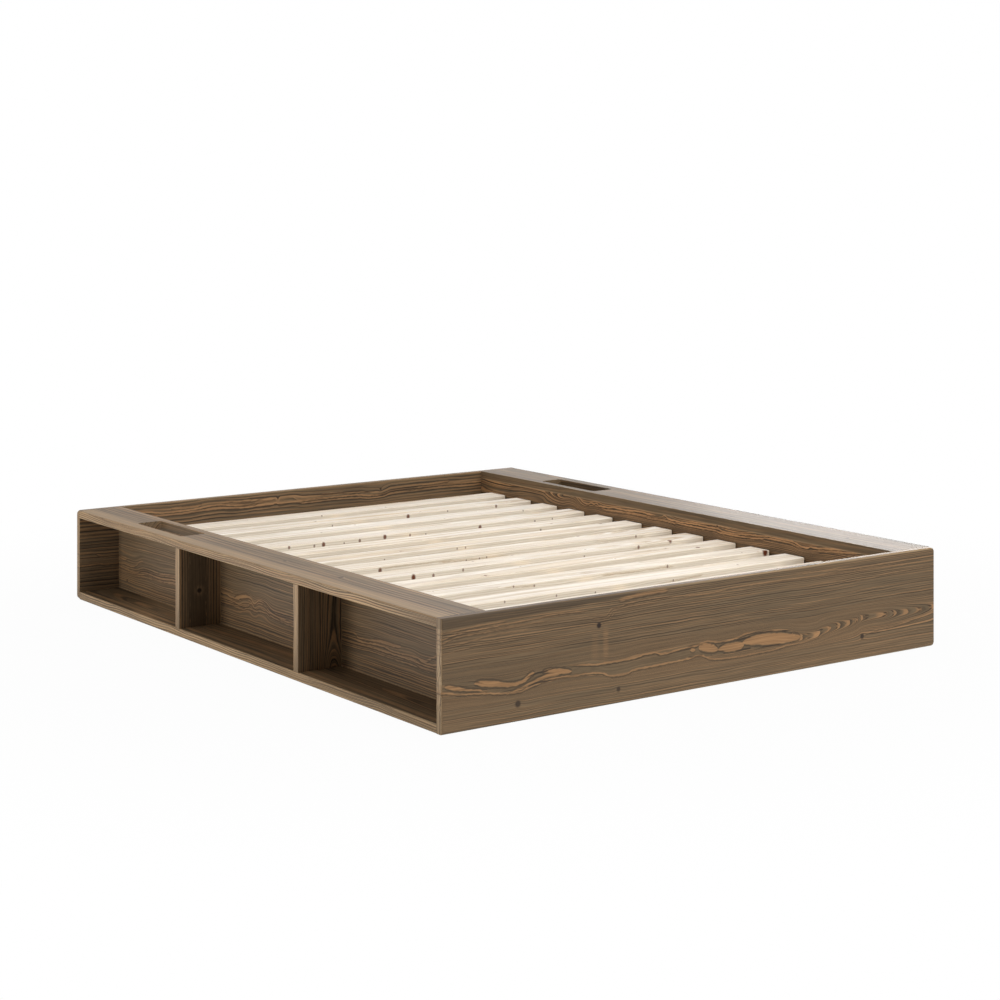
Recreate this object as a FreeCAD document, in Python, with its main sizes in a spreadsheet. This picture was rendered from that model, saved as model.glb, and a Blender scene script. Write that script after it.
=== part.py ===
"""Low storage bed in stained pine: two end boards, an open shelf unit along each side, a lift-out slatted base.

Row frame in millimetres: origin on the floor at the middle of the bed, +X across the bed from the left unit to
the right one, +Y from the foot board to the head board, +Z up.
"""
import FreeCAD, Part
import os
import Sketcher
from FreeCAD import Placement, Rotation, Vector

SLAT_COUNT = 13
COMPARTMENT_COUNT = 3

# Driving dimensions in millimetres, by the piece that they belong to
SIZES = {
    "bed_length": 2060,
    "bed_width": 1700,
    "bed_height": 280,
    "end_board_thickness": 22,
    "end_corner_radius": 12,
    "end_edge_round": 5,
    "eased_edge": 1,
    "unit_width": 146,
    "board_thickness": 24,
    "board_edge_round": 3,
    "panel_thickness": 10,
    "slot_length": 290,
    "slot_outer_margin": 40,
    "slot_inner_margin": 26,
    "slot_divider_margin": 40,
    "slot_corner_radius": 8,
    "slat_width": 85,
    "slat_thickness": 20,
    "slat_edge_round": 3,
    "slat_end_gap": 4,
    "slat_recess": 68,
    "slat_head_gap": 66,
    "slat_foot_gap": 53,
    "ledger_thickness": 24,
    "ledger_height": 48,
    "strap_width": 25,
    "strap_thickness": 1.2,
    "strap_inset": 100,
    "strap_end_margin": 8,
    "staple_wire": 1.2,
    "staple_crown": 12,
    "staple_leg": 10,
    "beam_width": 45,
    "beam_height": 70,
    "beam_end_gap": 0.5,
    "leg_width": 45,
    "leg_chamfer": 3,
    "leg_screw_diameter": 8,
    "leg_screw_length": 60,
    "glide_diameter": 30,
    "glide_thickness": 3,
    "glide_pin_diameter": 5,
    "glide_pin_length": 14,
    "shoe_steel": 2.5,
    "shoe_depth": 42,
    "shoe_wall": 58,
    "shoe_flange": 24,
    "shoe_side_gap": 0.5,
    "shoe_screw_diameter": 4,
    "shoe_screw_head": 8,
    "shoe_screw_head_height": 2.4,
    "bore_clearance": 0.05,
    "bore_cover": 10,
    "dowel_diameter": 8,
    "dowel_length": 40,
    "divider_dowel_length": 30,
    "dowel_margin": 32,
    "dowel_chamfer": 1,
    "cam_diameter": 15,
    "cam_cover": 7,
    "cam_reach": 34,
    "cam_passage": 8,
    "cam_past_centre": 2,
    "cam_drive_width": 2,
    "cam_drive_depth": 2.5,
    "cam_bolt_diameter": 6,
    "cam_bolt_neck": 4,
    "cam_bolt_neck_length": 5,
    "cam_bolt_head": 7,
    "cam_bolt_head_length": 3,
    "panel_screw_diameter": 3.5,
    "panel_screw_head": 7,
    "panel_screw_length": 35,
    "ledger_screw_diameter": 5,
    "ledger_screw_head": 10,
    "ledger_screw_length": 70,
}

# Heights of the lower and upper screw of a pair, as shares of the height that they share out
LOW_SHARE = 0.3
HIGH_SHARE = 0.7

# Lengths and places that follow from the driving dimensions
DERIVED = {
    "inner_length": "Sizes.bed_length - 2 * Sizes.end_board_thickness",
    "inner_reach": "inner_length / 2",
    "inner_width": "Sizes.bed_width - 2 * Sizes.unit_width",
    "wall_reach": "inner_width / 2",
    "end_seat": "Sizes.end_board_thickness - Sizes.bore_cover",
    "board_seat": "Sizes.board_thickness - Sizes.bore_cover",
    "unit_mid": "(Sizes.bed_width - Sizes.unit_width) / 2",
    "top_board_base": "Sizes.bed_height - Sizes.board_thickness",
    "compartment_height": "Sizes.bed_height - 2 * Sizes.board_thickness",
    "compartment_length": f"(inner_length - {COMPARTMENT_COUNT - 1} * Sizes.board_thickness) / {COMPARTMENT_COUNT}",
    "divider_depth": "Sizes.unit_width - Sizes.panel_thickness",
    "divider_mid": "(Sizes.bed_width - divider_depth) / 2",
    "divider_place": "(compartment_length + Sizes.board_thickness) / 2",
    "slot_width": "Sizes.unit_width - Sizes.slot_outer_margin - Sizes.slot_inner_margin",
    "slot_shift": "(Sizes.slot_inner_margin - Sizes.slot_outer_margin) / 2",
    "slot_start": "divider_place + Sizes.board_thickness / 2 + Sizes.slot_divider_margin",
    "slot_place": "slot_start + Sizes.slot_length / 2",
    "slat_length": "inner_width - 2 * Sizes.slat_end_gap",
    "slat_base": "Sizes.bed_height - Sizes.slat_recess - Sizes.slat_thickness",
    "slat_first": "inner_reach - Sizes.slat_head_gap - Sizes.slat_width / 2",
    "slat_last": "Sizes.slat_foot_gap + Sizes.slat_width / 2 - inner_reach",
    "slat_pitch": f"(slat_first - slat_last) / {SLAT_COUNT - 1}",
    "row_mid": "(slat_first + slat_last) / 2",
    "strap_mid": "slat_length / 2 - Sizes.strap_inset",
    "strap_length": "slat_first - slat_last + Sizes.slat_width - 2 * Sizes.strap_end_margin",
    "strap_base": "slat_base - Sizes.strap_thickness",
    "staple_height": "Sizes.staple_leg + Sizes.strap_thickness + Sizes.staple_wire",
    "ledger_base": "slat_base - Sizes.ledger_height",
    "ledger_mid": "wall_reach - Sizes.ledger_thickness / 2",
    "ledger_low": f"Sizes.ledger_height * {LOW_SHARE}",
    "ledger_high": f"Sizes.ledger_height * {HIGH_SHARE}",
    "panel_low": f"(ledger_base - Sizes.board_thickness) * {LOW_SHARE}",
    "panel_high": f"(ledger_base - Sizes.board_thickness) * {HIGH_SHARE}",
    "ledger_above_board": "ledger_base - Sizes.board_thickness",
    "beam_base": "slat_base - Sizes.beam_height",
    "beam_length": "inner_length - 2 * (Sizes.shoe_steel + Sizes.beam_end_gap)",
    "leg_place": "inner_length / 6",
    "leg_height": "beam_base - Sizes.glide_thickness",
    "leg_screw_seat": "Sizes.leg_screw_length / 2",
    "shoe_inside": "Sizes.beam_width + 2 * Sizes.shoe_side_gap",
    "shoe_outside": "shoe_inside + 2 * Sizes.shoe_steel",
    "shoe_plate": "shoe_outside + 2 * Sizes.shoe_flange",
    "shoe_height": "Sizes.shoe_wall + Sizes.shoe_steel",
    "shoe_screw_place": "(shoe_outside + Sizes.shoe_flange) / 2",
    "shoe_low": f"Sizes.shoe_wall * {LOW_SHARE}",
    "shoe_high": f"Sizes.shoe_wall * {HIGH_SHARE}",
    "shoe_screw_shank": "Sizes.shoe_steel + end_seat",
    "dowel_reach": "Sizes.dowel_length - end_seat",
    "dowel_bore": "Sizes.dowel_diameter + 2 * Sizes.bore_clearance",
    "dowel_spread": "Sizes.unit_width / 2 - Sizes.dowel_margin",
    "divider_dowel_reach": "Sizes.divider_dowel_length - board_seat",
    "divider_dowel_spread": "divider_depth / 2 - Sizes.dowel_margin",
    "cam_bore": "Sizes.cam_diameter + 2 * Sizes.bore_clearance",
    "cam_height": "Sizes.board_thickness - Sizes.cam_cover",
    "cam_place": "inner_reach - Sizes.cam_reach",
    "cam_bolt_bore": "Sizes.cam_bolt_diameter + 2 * Sizes.bore_clearance",
    "cam_bolt_shank": "end_seat + Sizes.cam_reach + Sizes.cam_past_centre"
                      " - Sizes.cam_bolt_neck_length - Sizes.cam_bolt_head_length",
    "cam_neck_end": "cam_bolt_shank + Sizes.cam_bolt_neck_length",
    "cam_pocket_end": "Sizes.cam_past_centre + Sizes.bore_clearance",
    "panel_screw_bore": "Sizes.panel_screw_diameter + 2 * Sizes.bore_clearance",
    "ledger_screw_bore": "Sizes.ledger_screw_diameter + 2 * Sizes.bore_clearance",
    "shoe_screw_bore": "Sizes.shoe_screw_diameter + 2 * Sizes.bore_clearance",
    "leg_screw_bore": "Sizes.leg_screw_diameter + 2 * Sizes.bore_clearance",
    "glide_pin_bore": "Sizes.glide_pin_diameter + 2 * Sizes.bore_clearance",
}

# How near an edge lies to a plane to count as lying in it
IN_PLANE = 0.001
SIDES = (("left", -1), ("right", 1))
ENDS = (("foot", -1), ("head", 1))
BOTH_WAYS = (-1, 1)
UP = Vector(0, 0, 1)

doc = FreeCAD.newDocument("StorageBed")


def fill_sheet(name, cells):
    """Write one cell per named value, with its name as the cell's alias."""
    sheet = doc.addObject("Spreadsheet::Sheet", name)
    for row, (alias, text) in enumerate(cells, start=1):
        sheet.set(f"A{row}", alias)
        sheet.set(f"B{row}", text)
        sheet.setAlias(f"B{row}", alias)
    return sheet


sizes = fill_sheet("Sizes", [(alias, str(number)) for alias, number in SIZES.items()])
derived = fill_sheet("Derived", [(alias, "=" + formula) for alias, formula in DERIVED.items()])
doc.recompute()


def size(alias):
    """Value of a driving dimension."""
    return float(sizes.get(alias))


def place(alias):
    """Value of a derived length or place."""
    return float(derived.get(alias))


def bind(thing, **formulas):
    """Bind properties of an object to formulas; a double underscore in a name stands for a dot."""
    for name, formula in formulas.items():
        thing.setExpression(name.replace("__", "."), formula)


def new_body(label, x="0", y="0", z="0"):
    """An empty body, placed by three formulas."""
    body = doc.addObject("PartDesign::Body", label)
    body.Label = label
    bind(body, Placement__Base__x=x, Placement__Base__y=y, Placement__Base__z=z)
    return body


def turn_round(body):
    """Turn a body half way round about its own upright axis."""
    body.Placement.Rotation = Rotation(UP, 180)


def origin_plane(body, role):
    """One of the body's own origin planes."""
    return next(feature for feature in body.Origin.OriginFeatures if feature.Role == role)


def new_sketch(body, name, role, across="0", up="0", out="0"):
    """A sketch parallel to an origin plane, moved by formulas along the sketch's own x, y and normal."""
    sketch = body.newObject("Sketcher::SketchObject", f"{body.Label}_{name}")
    sketch.AttachmentSupport = [(origin_plane(body, role), "")]
    sketch.MapMode = "FlatFace"
    bind(sketch, AttachmentOffset__Base__x=across, AttachmentOffset__Base__y=up, AttachmentOffset__Base__z=out)
    return sketch


def dimension(sketch, name, formula, *constraint):
    """Add a named dimension to a sketch and bind it to a formula."""
    index = sketch.addConstraint(Sketcher.Constraint(*constraint))
    sketch.renameConstraint(index, name)
    sketch.setExpression(f"Constraints.{name}", formula)


def rectangle(body, name, role, width, height, **offset):
    """Sketch a rectangle centred on the sketch's origin."""
    sketch = new_sketch(body, name, role, **offset)
    corners = [Vector(-1, -1, 0), Vector(1, -1, 0), Vector(1, 1, 0), Vector(-1, 1, 0)]
    for start, end in zip(corners, corners[1:] + corners[:1]):
        sketch.addGeometry(Part.LineSegment(start, end))
    for line in range(len(corners)):
        sketch.addConstraint(Sketcher.Constraint("Coincident", line, 2, (line + 1) % len(corners), 1))
    for line in (0, 2):
        sketch.addConstraint(Sketcher.Constraint("Horizontal", line))
        sketch.addConstraint(Sketcher.Constraint("Vertical", line + 1))
    sketch.addConstraint(Sketcher.Constraint("Symmetric", 0, 1, 1, 2, -1, 1))
    dimension(sketch, "width", width, "DistanceX", 0, 1, 0, 2, 2)
    dimension(sketch, "height", height, "DistanceY", 1, 1, 1, 2, 2)
    return sketch


def circles(body, name, role, diameter, spots, **offset):
    """Sketch equal circles, each centred at a pair of formulas."""
    sketch = new_sketch(body, name, role, **offset)
    for index, (across, up) in enumerate(spots):
        sketch.addGeometry(Part.Circle(Vector(index, index, 0), UP, 1))
        dimension(sketch, f"across{index}", across, "DistanceX", -1, 1, index, 3, index)
        dimension(sketch, f"up{index}", up, "DistanceY", -1, 1, index, 3, index)
        dimension(sketch, f"bore{index}", diameter, "Diameter", index, 2)
    return sketch


def pad(body, sketch, length, backwards=False):
    """Raise a sketch along its normal, or against it."""
    feature = body.newObject("PartDesign::Pad", f"{sketch.Name}_pad")
    feature.Profile = sketch
    feature.Reversed = backwards
    bind(feature, Length=length)
    return feature


def pocket(body, sketch, depth, along_normal=False):
    """Cut a sketch into the body against its normal, or along it."""
    feature = body.newObject("PartDesign::Pocket", f"{sketch.Name}_cut")
    feature.Profile = sketch
    feature.Reversed = along_normal
    bind(feature, Length=depth)
    return feature


def countersunk(body, sketch, bore, head, depth, along_normal=False):
    """Bore holes with a right-angled countersink at their mouths."""
    doc.recompute()
    feature = body.newObject("PartDesign::Hole", f"{sketch.Name}_hole")
    feature.Profile = sketch
    feature.Reversed = along_normal
    feature.DepthType = "Dimension"
    feature.DrillPoint = "Flat"
    feature.HoleCutType = "Countersink"
    feature.HoleCutCustomValues = True
    feature.HoleCutCountersinkAngle = 90
    bind(feature, Diameter=bore, HoleCutDiameter=head, Depth=depth)
    return feature


def mirror(body, feature, role):
    """Repeat a feature on the other side of one of the body's origin planes."""
    copy = body.newObject("PartDesign::Mirrored", f"{feature.Name}_mirror")
    copy.Originals = [feature]
    copy.MirrorPlane = (origin_plane(body, role), [""])
    body.Tip = copy


def lies_at(edge, **planes):
    """Whether an edge lies in every plane named by its axis and place, such as x=0."""
    box = edge.BoundBox
    low = {"x": box.XMin, "y": box.YMin, "z": box.ZMin}
    high = {"x": box.XMax, "y": box.YMax, "z": box.ZMax}
    near = [max(abs(low[axis] - at), abs(high[axis] - at)) < IN_PLANE for axis, at in planes.items()]
    return all(near)


def dress_edges(body, kind, name, amount, wanted):
    """Round ("Fillet", Radius) or bevel ("Chamfer", Size) the edges of the body so far that are wanted."""
    doc.recompute()
    base = body.Tip
    names = [f"Edge{index}" for index, edge in enumerate(base.Shape.Edges, start=1) if wanted(edge)]
    feature = body.newObject(f"PartDesign::{kind}", f"{body.Label}_{name}")
    feature.Base = (base, names)
    feature.setExpression("Radius" if kind == "Fillet" else "Size", amount)


def end_board(end, sign):
    """A full-width end board: upright plate, one rounded and one square end, blind bores in its inner face.

    Modelled with its inner face in the plane y = 0 and the board behind it, the rounded end towards +X.
    """
    board = new_body(f"{end}_board", y=f"{sign} * Derived.inner_reach")
    if sign > 0:
        turn_round(board)
    outline = rectangle(board, "outline", "XZ_Plane", "Sizes.bed_width", "Sizes.bed_height", up="Sizes.bed_height / 2")
    pad(board, outline, "Sizes.end_board_thickness")
    side = size("bed_width") / 2
    top = size("bed_height")
    back = -size("end_board_thickness")
    dress_edges(board, "Fillet", "corners", "Sizes.end_corner_radius", lambda edge: any(
        lies_at(edge, x=side, z=z) for z in (0, top)))
    dress_edges(board, "Fillet", "outer_edges", "Sizes.end_edge_round", lambda edge: lies_at(edge, y=back))
    dress_edges(board, "Fillet", "square_end", "Sizes.eased_edge", lambda edge: any(
        lies_at(edge, x=-side, z=z) for z in (0, top)))
    dress_edges(board, "Fillet", "inner_edges", "Sizes.eased_edge", lambda edge: lies_at(edge, y=0))

    heights = ("Sizes.board_thickness / 2", "Sizes.bed_height - Sizes.board_thickness / 2")
    ways = [f"{way} * " for way in BOTH_WAYS]
    dowel_spots = [(f"{way}(Derived.unit_mid + {spread}Derived.dowel_spread)", height)
                   for way in ways for spread in ways for height in heights]
    dowel_spots += [(f"{way}Derived.ledger_mid", "Derived.ledger_base + Sizes.ledger_height / 2") for way in ways]
    cam_spots = [(f"{way}Derived.unit_mid", height) for way in ways for height in heights]
    shoe_spots = [(f"{way}Derived.shoe_screw_place", f"Derived.beam_base + {height}")
                  for way in ways for height in ("Derived.shoe_low", "Derived.shoe_high")]
    for name, bore, spots in (("dowels", "Derived.dowel_bore", dowel_spots),
                              ("cams", "Derived.cam_bolt_bore", cam_spots),
                              ("shoe", "Derived.shoe_screw_bore", shoe_spots)):
        pocket(board, circles(board, name, "XZ_Plane", bore, spots), "Derived.end_seat", along_normal=True)
    return board


def unit_board(label, sign, base):
    """A long flat board of a side unit, with a rounded outer edge and the bores of its end joints."""
    board = new_body(label, x=f"{sign} * Derived.unit_mid", z=base)
    pad(board, rectangle(board, "outline", "XY_Plane", "Sizes.unit_width", "Derived.inner_length"),
        "Sizes.board_thickness")
    outer = sign * size("unit_width") / 2
    thickness = size("board_thickness")
    dress_edges(board, "Fillet", "outer_edges", "Sizes.board_edge_round", lambda edge: any(
        lies_at(edge, x=outer, z=z) for z in (0, thickness)))

    cams = [("0", f"{way} * Derived.cam_place") for way in BOTH_WAYS]
    pocket(board, circles(board, "cams", "XY_Plane", "Derived.cam_bore", cams), "Derived.cam_height",
           along_normal=True)
    end = {"up": "Sizes.board_thickness / 2", "out": "-Derived.inner_reach"}
    dowels = [(f"{way} * Derived.dowel_spread", "0") for way in BOTH_WAYS]
    bores = pocket(board, circles(board, "dowels", "XZ_Plane", "Derived.dowel_bore", dowels, **end),
                   "Derived.dowel_reach", along_normal=True)
    mirror(board, bores, "XZ_Plane")
    passage = pocket(board, circles(board, "passage", "XZ_Plane", "Sizes.cam_passage", [("0", "0")], **end),
                     "Sizes.cam_reach", along_normal=True)
    mirror(board, passage, "XZ_Plane")
    return board


def divider_spots(sign):
    """Places of a unit's divider dowels, in the frame of its top or bottom board."""
    middle = f"{sign} * (Derived.divider_mid - Derived.unit_mid)"
    return [(f"{middle} + {across} * Derived.divider_dowel_spread", f"{along} * Derived.divider_place")
            for across in BOTH_WAYS for along in BOTH_WAYS]


def top_board(side, sign):
    """The top of a side unit, with a rounded slot cut through it over the compartment at the head."""
    board = unit_board(f"{side}_top_board", sign, "Derived.top_board_base")
    inner = -sign * size("unit_width") / 2
    thickness = size("board_thickness")
    dress_edges(board, "Fillet", "inner_edge", "Sizes.eased_edge", lambda edge: lies_at(edge, x=inner, z=thickness))
    slot = rectangle(board, "slot", "XY_Plane", "Derived.slot_width", "Sizes.slot_length",
                     across=f"{sign} * Derived.slot_shift", up="Derived.slot_place")
    pocket(board, slot, "Sizes.board_thickness", along_normal=True)
    centre = sign * place("slot_shift")
    ends = [centre + way * place("slot_width") / 2 for way in BOTH_WAYS]
    reach = [place("slot_start"), place("slot_start") + size("slot_length")]
    dress_edges(board, "Fillet", "slot_corners", "Sizes.slot_corner_radius", lambda edge: any(
        lies_at(edge, x=x, y=y) for x in ends for y in reach))
    dress_edges(board, "Fillet", "slot_rim", "Sizes.eased_edge", lambda edge: (
        lies_at(edge, z=thickness)
        and reach[0] - IN_PLANE < edge.CenterOfMass.y < reach[1] + IN_PLANE
        and ends[0] - IN_PLANE < edge.CenterOfMass.x < ends[1] + IN_PLANE))
    pocket(board, circles(board, "dividers", "XY_Plane", "Derived.dowel_bore", divider_spots(sign)),
           "Derived.board_seat", along_normal=True)
    return board


def bottom_board(side, sign):
    """The floor of a side unit, which stands on the ground."""
    board = unit_board(f"{side}_bottom_board", sign, "0")
    holes = circles(board, "dividers", "XY_Plane", "Derived.dowel_bore", divider_spots(sign),
                    out="Sizes.board_thickness")
    pocket(board, holes, "Derived.board_seat")
    return board


def back_panel(side, sign):
    """The thin panel between top and bottom board that closes a unit towards the mattress."""
    panel = new_body(f"{side}_back_panel", x=f"{sign} * Derived.wall_reach", z="Sizes.board_thickness")
    outline = rectangle(panel, "outline", "YZ_Plane", "Derived.inner_length", "Derived.compartment_height",
                        up="Derived.compartment_height / 2")
    pad(panel, outline, "Sizes.panel_thickness", backwards=sign < 0)
    places = [f"{way} * Derived.divider_place" for way in BOTH_WAYS]
    panel_spots = [(along, up) for along in places for up in ("Derived.panel_low", "Derived.panel_high")]
    ledger_spots = [(along, f"Derived.ledger_above_board + {up}")
                    for along in places for up in ("Derived.ledger_low", "Derived.ledger_high")]
    pocket(panel, circles(panel, "ledger", "YZ_Plane", "Derived.ledger_screw_bore", ledger_spots),
           "Sizes.panel_thickness", along_normal=sign > 0)
    countersunk(panel, circles(panel, "screws", "YZ_Plane", "Derived.panel_screw_bore", panel_spots),
                "Derived.panel_screw_bore", "Sizes.panel_screw_head", "Sizes.panel_thickness",
                along_normal=sign > 0)
    return panel


def divider(side, sign, end, way):
    """An upright board between two compartments, with dowel bores above and below and screw bores behind."""
    board = new_body(f"{side}_divider_{end}", x=f"{sign} * Derived.divider_mid", y=f"{way} * Derived.divider_place",
                     z="Sizes.board_thickness")
    pad(board, rectangle(board, "outline", "XY_Plane", "Derived.divider_depth", "Sizes.board_thickness"),
        "Derived.compartment_height")
    front = sign * place("divider_depth") / 2
    half = size("board_thickness") / 2
    dress_edges(board, "Fillet", "front_edges", "Sizes.eased_edge", lambda edge: any(
        lies_at(edge, x=front, y=y) for y in (-half, half)))
    dowels = [(f"{across} * Derived.divider_dowel_spread", "0") for across in BOTH_WAYS]
    pocket(board, circles(board, "low_dowels", "XY_Plane", "Derived.dowel_bore", dowels),
           "Derived.divider_dowel_reach", along_normal=True)
    pocket(board, circles(board, "high_dowels", "XY_Plane", "Derived.dowel_bore", dowels,
                          out="Derived.compartment_height"), "Derived.divider_dowel_reach")
    behind = f"{-sign} * Derived.divider_depth / 2"
    panel_spots = [("0", up) for up in ("Derived.panel_low", "Derived.panel_high")]
    ledger_spots = [("0", f"Derived.ledger_above_board + {up}") for up in ("Derived.ledger_low", "Derived.ledger_high")]
    pocket(board, circles(board, "panel_screws", "YZ_Plane", "Derived.panel_screw_bore", panel_spots, out=behind),
           "Sizes.panel_screw_length - Sizes.panel_thickness", along_normal=sign > 0)
    pocket(board, circles(board, "ledger_screws", "YZ_Plane", "Derived.ledger_screw_bore", ledger_spots, out=behind),
           "Sizes.ledger_screw_length - Sizes.ledger_thickness - Sizes.panel_thickness", along_normal=sign > 0)
    return board


def slat_ledger(side, sign):
    """The strip on a unit's inner wall that carries the slat ends."""
    ledger = new_body(f"{side}_slat_ledger", x=f"{sign} * Derived.ledger_mid", z="Derived.ledger_base")
    pad(ledger, rectangle(ledger, "outline", "XY_Plane", "Sizes.ledger_thickness", "Derived.inner_length"),
        "Sizes.ledger_height")
    bores = pocket(ledger, circles(ledger, "dowels", "XZ_Plane", "Derived.dowel_bore",
                                   [("0", "Sizes.ledger_height / 2")], out="-Derived.inner_reach"),
                   "Derived.dowel_reach", along_normal=True)
    mirror(ledger, bores, "XZ_Plane")
    spots = [(f"{way} * Derived.divider_place", up)
             for way in BOTH_WAYS for up in ("Derived.ledger_low", "Derived.ledger_high")]
    screws = circles(ledger, "screws", "YZ_Plane", "Derived.ledger_screw_bore", spots,
                     out=f"{-sign} * Sizes.ledger_thickness / 2")
    countersunk(ledger, screws, "Derived.ledger_screw_bore", "Sizes.ledger_screw_head", "Sizes.ledger_thickness",
                along_normal=sign > 0)
    return ledger


def slat(number):
    """One slat of the base, counted from the head, with its four long edges rounded."""
    board = new_body(f"slat_{number:02d}", y=f"Derived.slat_first - {number - 1} * Derived.slat_pitch",
                     z="Derived.slat_base")
    pad(board, rectangle(board, "outline", "XY_Plane", "Derived.slat_length", "Sizes.slat_width"),
        "Sizes.slat_thickness")
    half = size("slat_width") / 2
    dress_edges(board, "Fillet", "long_edges", "Sizes.slat_edge_round", lambda edge: any(
        lies_at(edge, y=y, z=z) for y in (-half, half) for z in (0, size("slat_thickness"))))
    return board


def slat_strap(side, sign):
    """A flat webbing strap under the slats, which keeps their spacing."""
    strap = new_body(f"{side}_slat_strap", x=f"{sign} * Derived.strap_mid", y="Derived.row_mid", z="Derived.strap_base")
    pad(strap, rectangle(strap, "outline", "XY_Plane", "Sizes.strap_width", "Derived.strap_length"),
        "Sizes.strap_thickness")
    return strap


def centre_beam():
    """The beam under the middle of the slats, bored from below for the leg screws."""
    beam = new_body("centre_beam", z="Derived.beam_base")
    pad(beam, rectangle(beam, "outline", "XY_Plane", "Sizes.beam_width", "Derived.beam_length"), "Sizes.beam_height")
    spots = [("0", f"{way} * Derived.leg_place") for way in BOTH_WAYS]
    pocket(beam, circles(beam, "legs", "XY_Plane", "Derived.leg_screw_bore", spots), "Derived.leg_screw_seat",
           along_normal=True)
    return beam


def centre_leg(end, way):
    """A square post under the beam, bevelled at its foot and bored for its screw and its glide."""
    leg = new_body(f"centre_leg_{end}", y=f"{way} * Derived.leg_place", z="Sizes.glide_thickness")
    pad(leg, rectangle(leg, "outline", "XY_Plane", "Sizes.leg_width", "Sizes.leg_width"), "Derived.leg_height")
    dress_edges(leg, "Chamfer", "foot_bevel", "Sizes.leg_chamfer", lambda edge: lies_at(edge, z=0))
    pocket(leg, circles(leg, "glide", "XY_Plane", "Derived.glide_pin_bore", [("0", "0")]), "Sizes.glide_pin_length",
           along_normal=True)
    pocket(leg, circles(leg, "screw", "XY_Plane", "Derived.leg_screw_bore", [("0", "0")], out="Derived.leg_height"),
           "Derived.leg_screw_seat")
    return leg


def beam_shoe(end, sign):
    """A bent steel shoe on an end board: a drilled back plate and a trough that the beam's end lies in.

    Modelled with its back in the plane y = 0, the trough along +y and the trough's floor at z = 0.
    """
    shoe = new_body(f"beam_shoe_{end}", y=f"{sign} * Derived.inner_reach", z="Derived.beam_base")
    if sign > 0:
        turn_round(shoe)
    middle = "(Sizes.shoe_wall - Sizes.shoe_steel) / 2"
    plate = rectangle(shoe, "plate", "XZ_Plane", "Derived.shoe_plate", "Derived.shoe_height", up=middle)
    pad(shoe, plate, "Sizes.shoe_steel", backwards=True)
    trough = rectangle(shoe, "trough", "XZ_Plane", "Derived.shoe_outside", "Derived.shoe_height", up=middle)
    pad(shoe, trough, "Sizes.shoe_depth", backwards=True)
    hollow = rectangle(shoe, "hollow", "XZ_Plane", "Derived.shoe_inside", "Sizes.shoe_wall",
                       up="Sizes.shoe_wall / 2", out="-Sizes.shoe_depth")
    pocket(shoe, hollow, "Sizes.shoe_depth - Sizes.shoe_steel", along_normal=True)
    spots = [(f"{way} * Derived.shoe_screw_place", up)
             for way in BOTH_WAYS for up in ("Derived.shoe_low", "Derived.shoe_high")]
    pocket(shoe, circles(shoe, "screws", "XZ_Plane", "Derived.shoe_screw_bore", spots), "Sizes.shoe_steel")
    return shoe


def cylinder(name, diameter, length, z="0"):
    """A round bar along +z from a given height."""
    bar = doc.addObject("Part::Cylinder", name)
    bind(bar, Radius=f"({diameter}) / 2", Height=length, Placement__Base__z=z)
    return bar


def cone(name, low_diameter, high_diameter, length, z="0"):
    """A tapered bar along +z from a given height."""
    bar = doc.addObject("Part::Cone", name)
    bind(bar, Radius1=f"({low_diameter}) / 2", Radius2=f"({high_diameter}) / 2", Height=length, Placement__Base__z=z)
    return bar


def fused(name, *pieces):
    """One solid of several touching pieces."""
    whole = doc.addObject("Part::MultiFuse", name)
    whole.Shapes = list(pieces)
    return whole


def dowel(name, length):
    """A wooden dowel along +z with bevelled ends."""
    body = new_body(name)
    pad(body, circles(body, "section", "XY_Plane", "Sizes.dowel_diameter", [("0", "0")]), length)
    dress_edges(body, "Chamfer", "bevels", "Sizes.dowel_chamfer", lambda edge: (
        lies_at(edge, z=0) or lies_at(edge, z=body.Tip.Shape.BoundBox.ZMax)))
    return body


def sunk_screw(name, kind):
    """A countersunk screw driven along +z, its head flush with z = 0 and its point tapered."""
    head = f"Sizes.{kind}_head - 2 * Sizes.bore_clearance"
    shank = f"Sizes.{kind}_diameter"
    depth = f"({head} - {shank}) / 2"
    point = f"Sizes.{kind}_length - {shank}"
    return fused(name, cone(f"{name}_head", head, shank, depth),
                 cylinder(f"{name}_shank", shank, f"{point} - {depth}", z=depth),
                 cone(f"{name}_point", shank, "0", shank, z=point))


def pan_screw(name):
    """A flat-headed screw driven along +z, with the underside of its head at z = 0."""
    return fused(name, cylinder(f"{name}_head", "Sizes.shoe_screw_head", "Sizes.shoe_screw_head_height",
                                z="-Sizes.shoe_screw_head_height"),
                 cylinder(f"{name}_shank", "Sizes.shoe_screw_diameter", "Derived.shoe_screw_shank"))


def cam_bolt(name):
    """A connecting bolt along +z: threaded shank, thin neck and the head that the cam draws in."""
    return fused(name, cylinder(f"{name}_shank", "Sizes.cam_bolt_diameter", "Derived.cam_bolt_shank"),
                 cylinder(f"{name}_neck", "Sizes.cam_bolt_neck", "Sizes.cam_bolt_neck_length",
                          z="Derived.cam_bolt_shank"),
                 cylinder(f"{name}_head", "Sizes.cam_bolt_head", "Sizes.cam_bolt_head_length",
                          z="Derived.cam_neck_end"))


def cam_housing(name):
    """A round cam along +z, open towards +y for its bolt and slotted for a driver below."""
    cam = new_body(name)
    pad(cam, circles(cam, "section", "XY_Plane", "Sizes.cam_diameter", [("0", "0")]), "Derived.cam_height")
    entry = circles(cam, "entry", "XZ_Plane", "Sizes.cam_passage", [("0", "Sizes.board_thickness / 2")],
                    out="Derived.cam_pocket_end")
    pocket(cam, entry, "Derived.cam_pocket_end + Sizes.cam_diameter")
    pocket(cam, rectangle(cam, "drive", "XY_Plane", "Sizes.cam_diameter", "Sizes.cam_drive_width"),
           "Sizes.cam_drive_depth", along_normal=True)
    return cam


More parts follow.
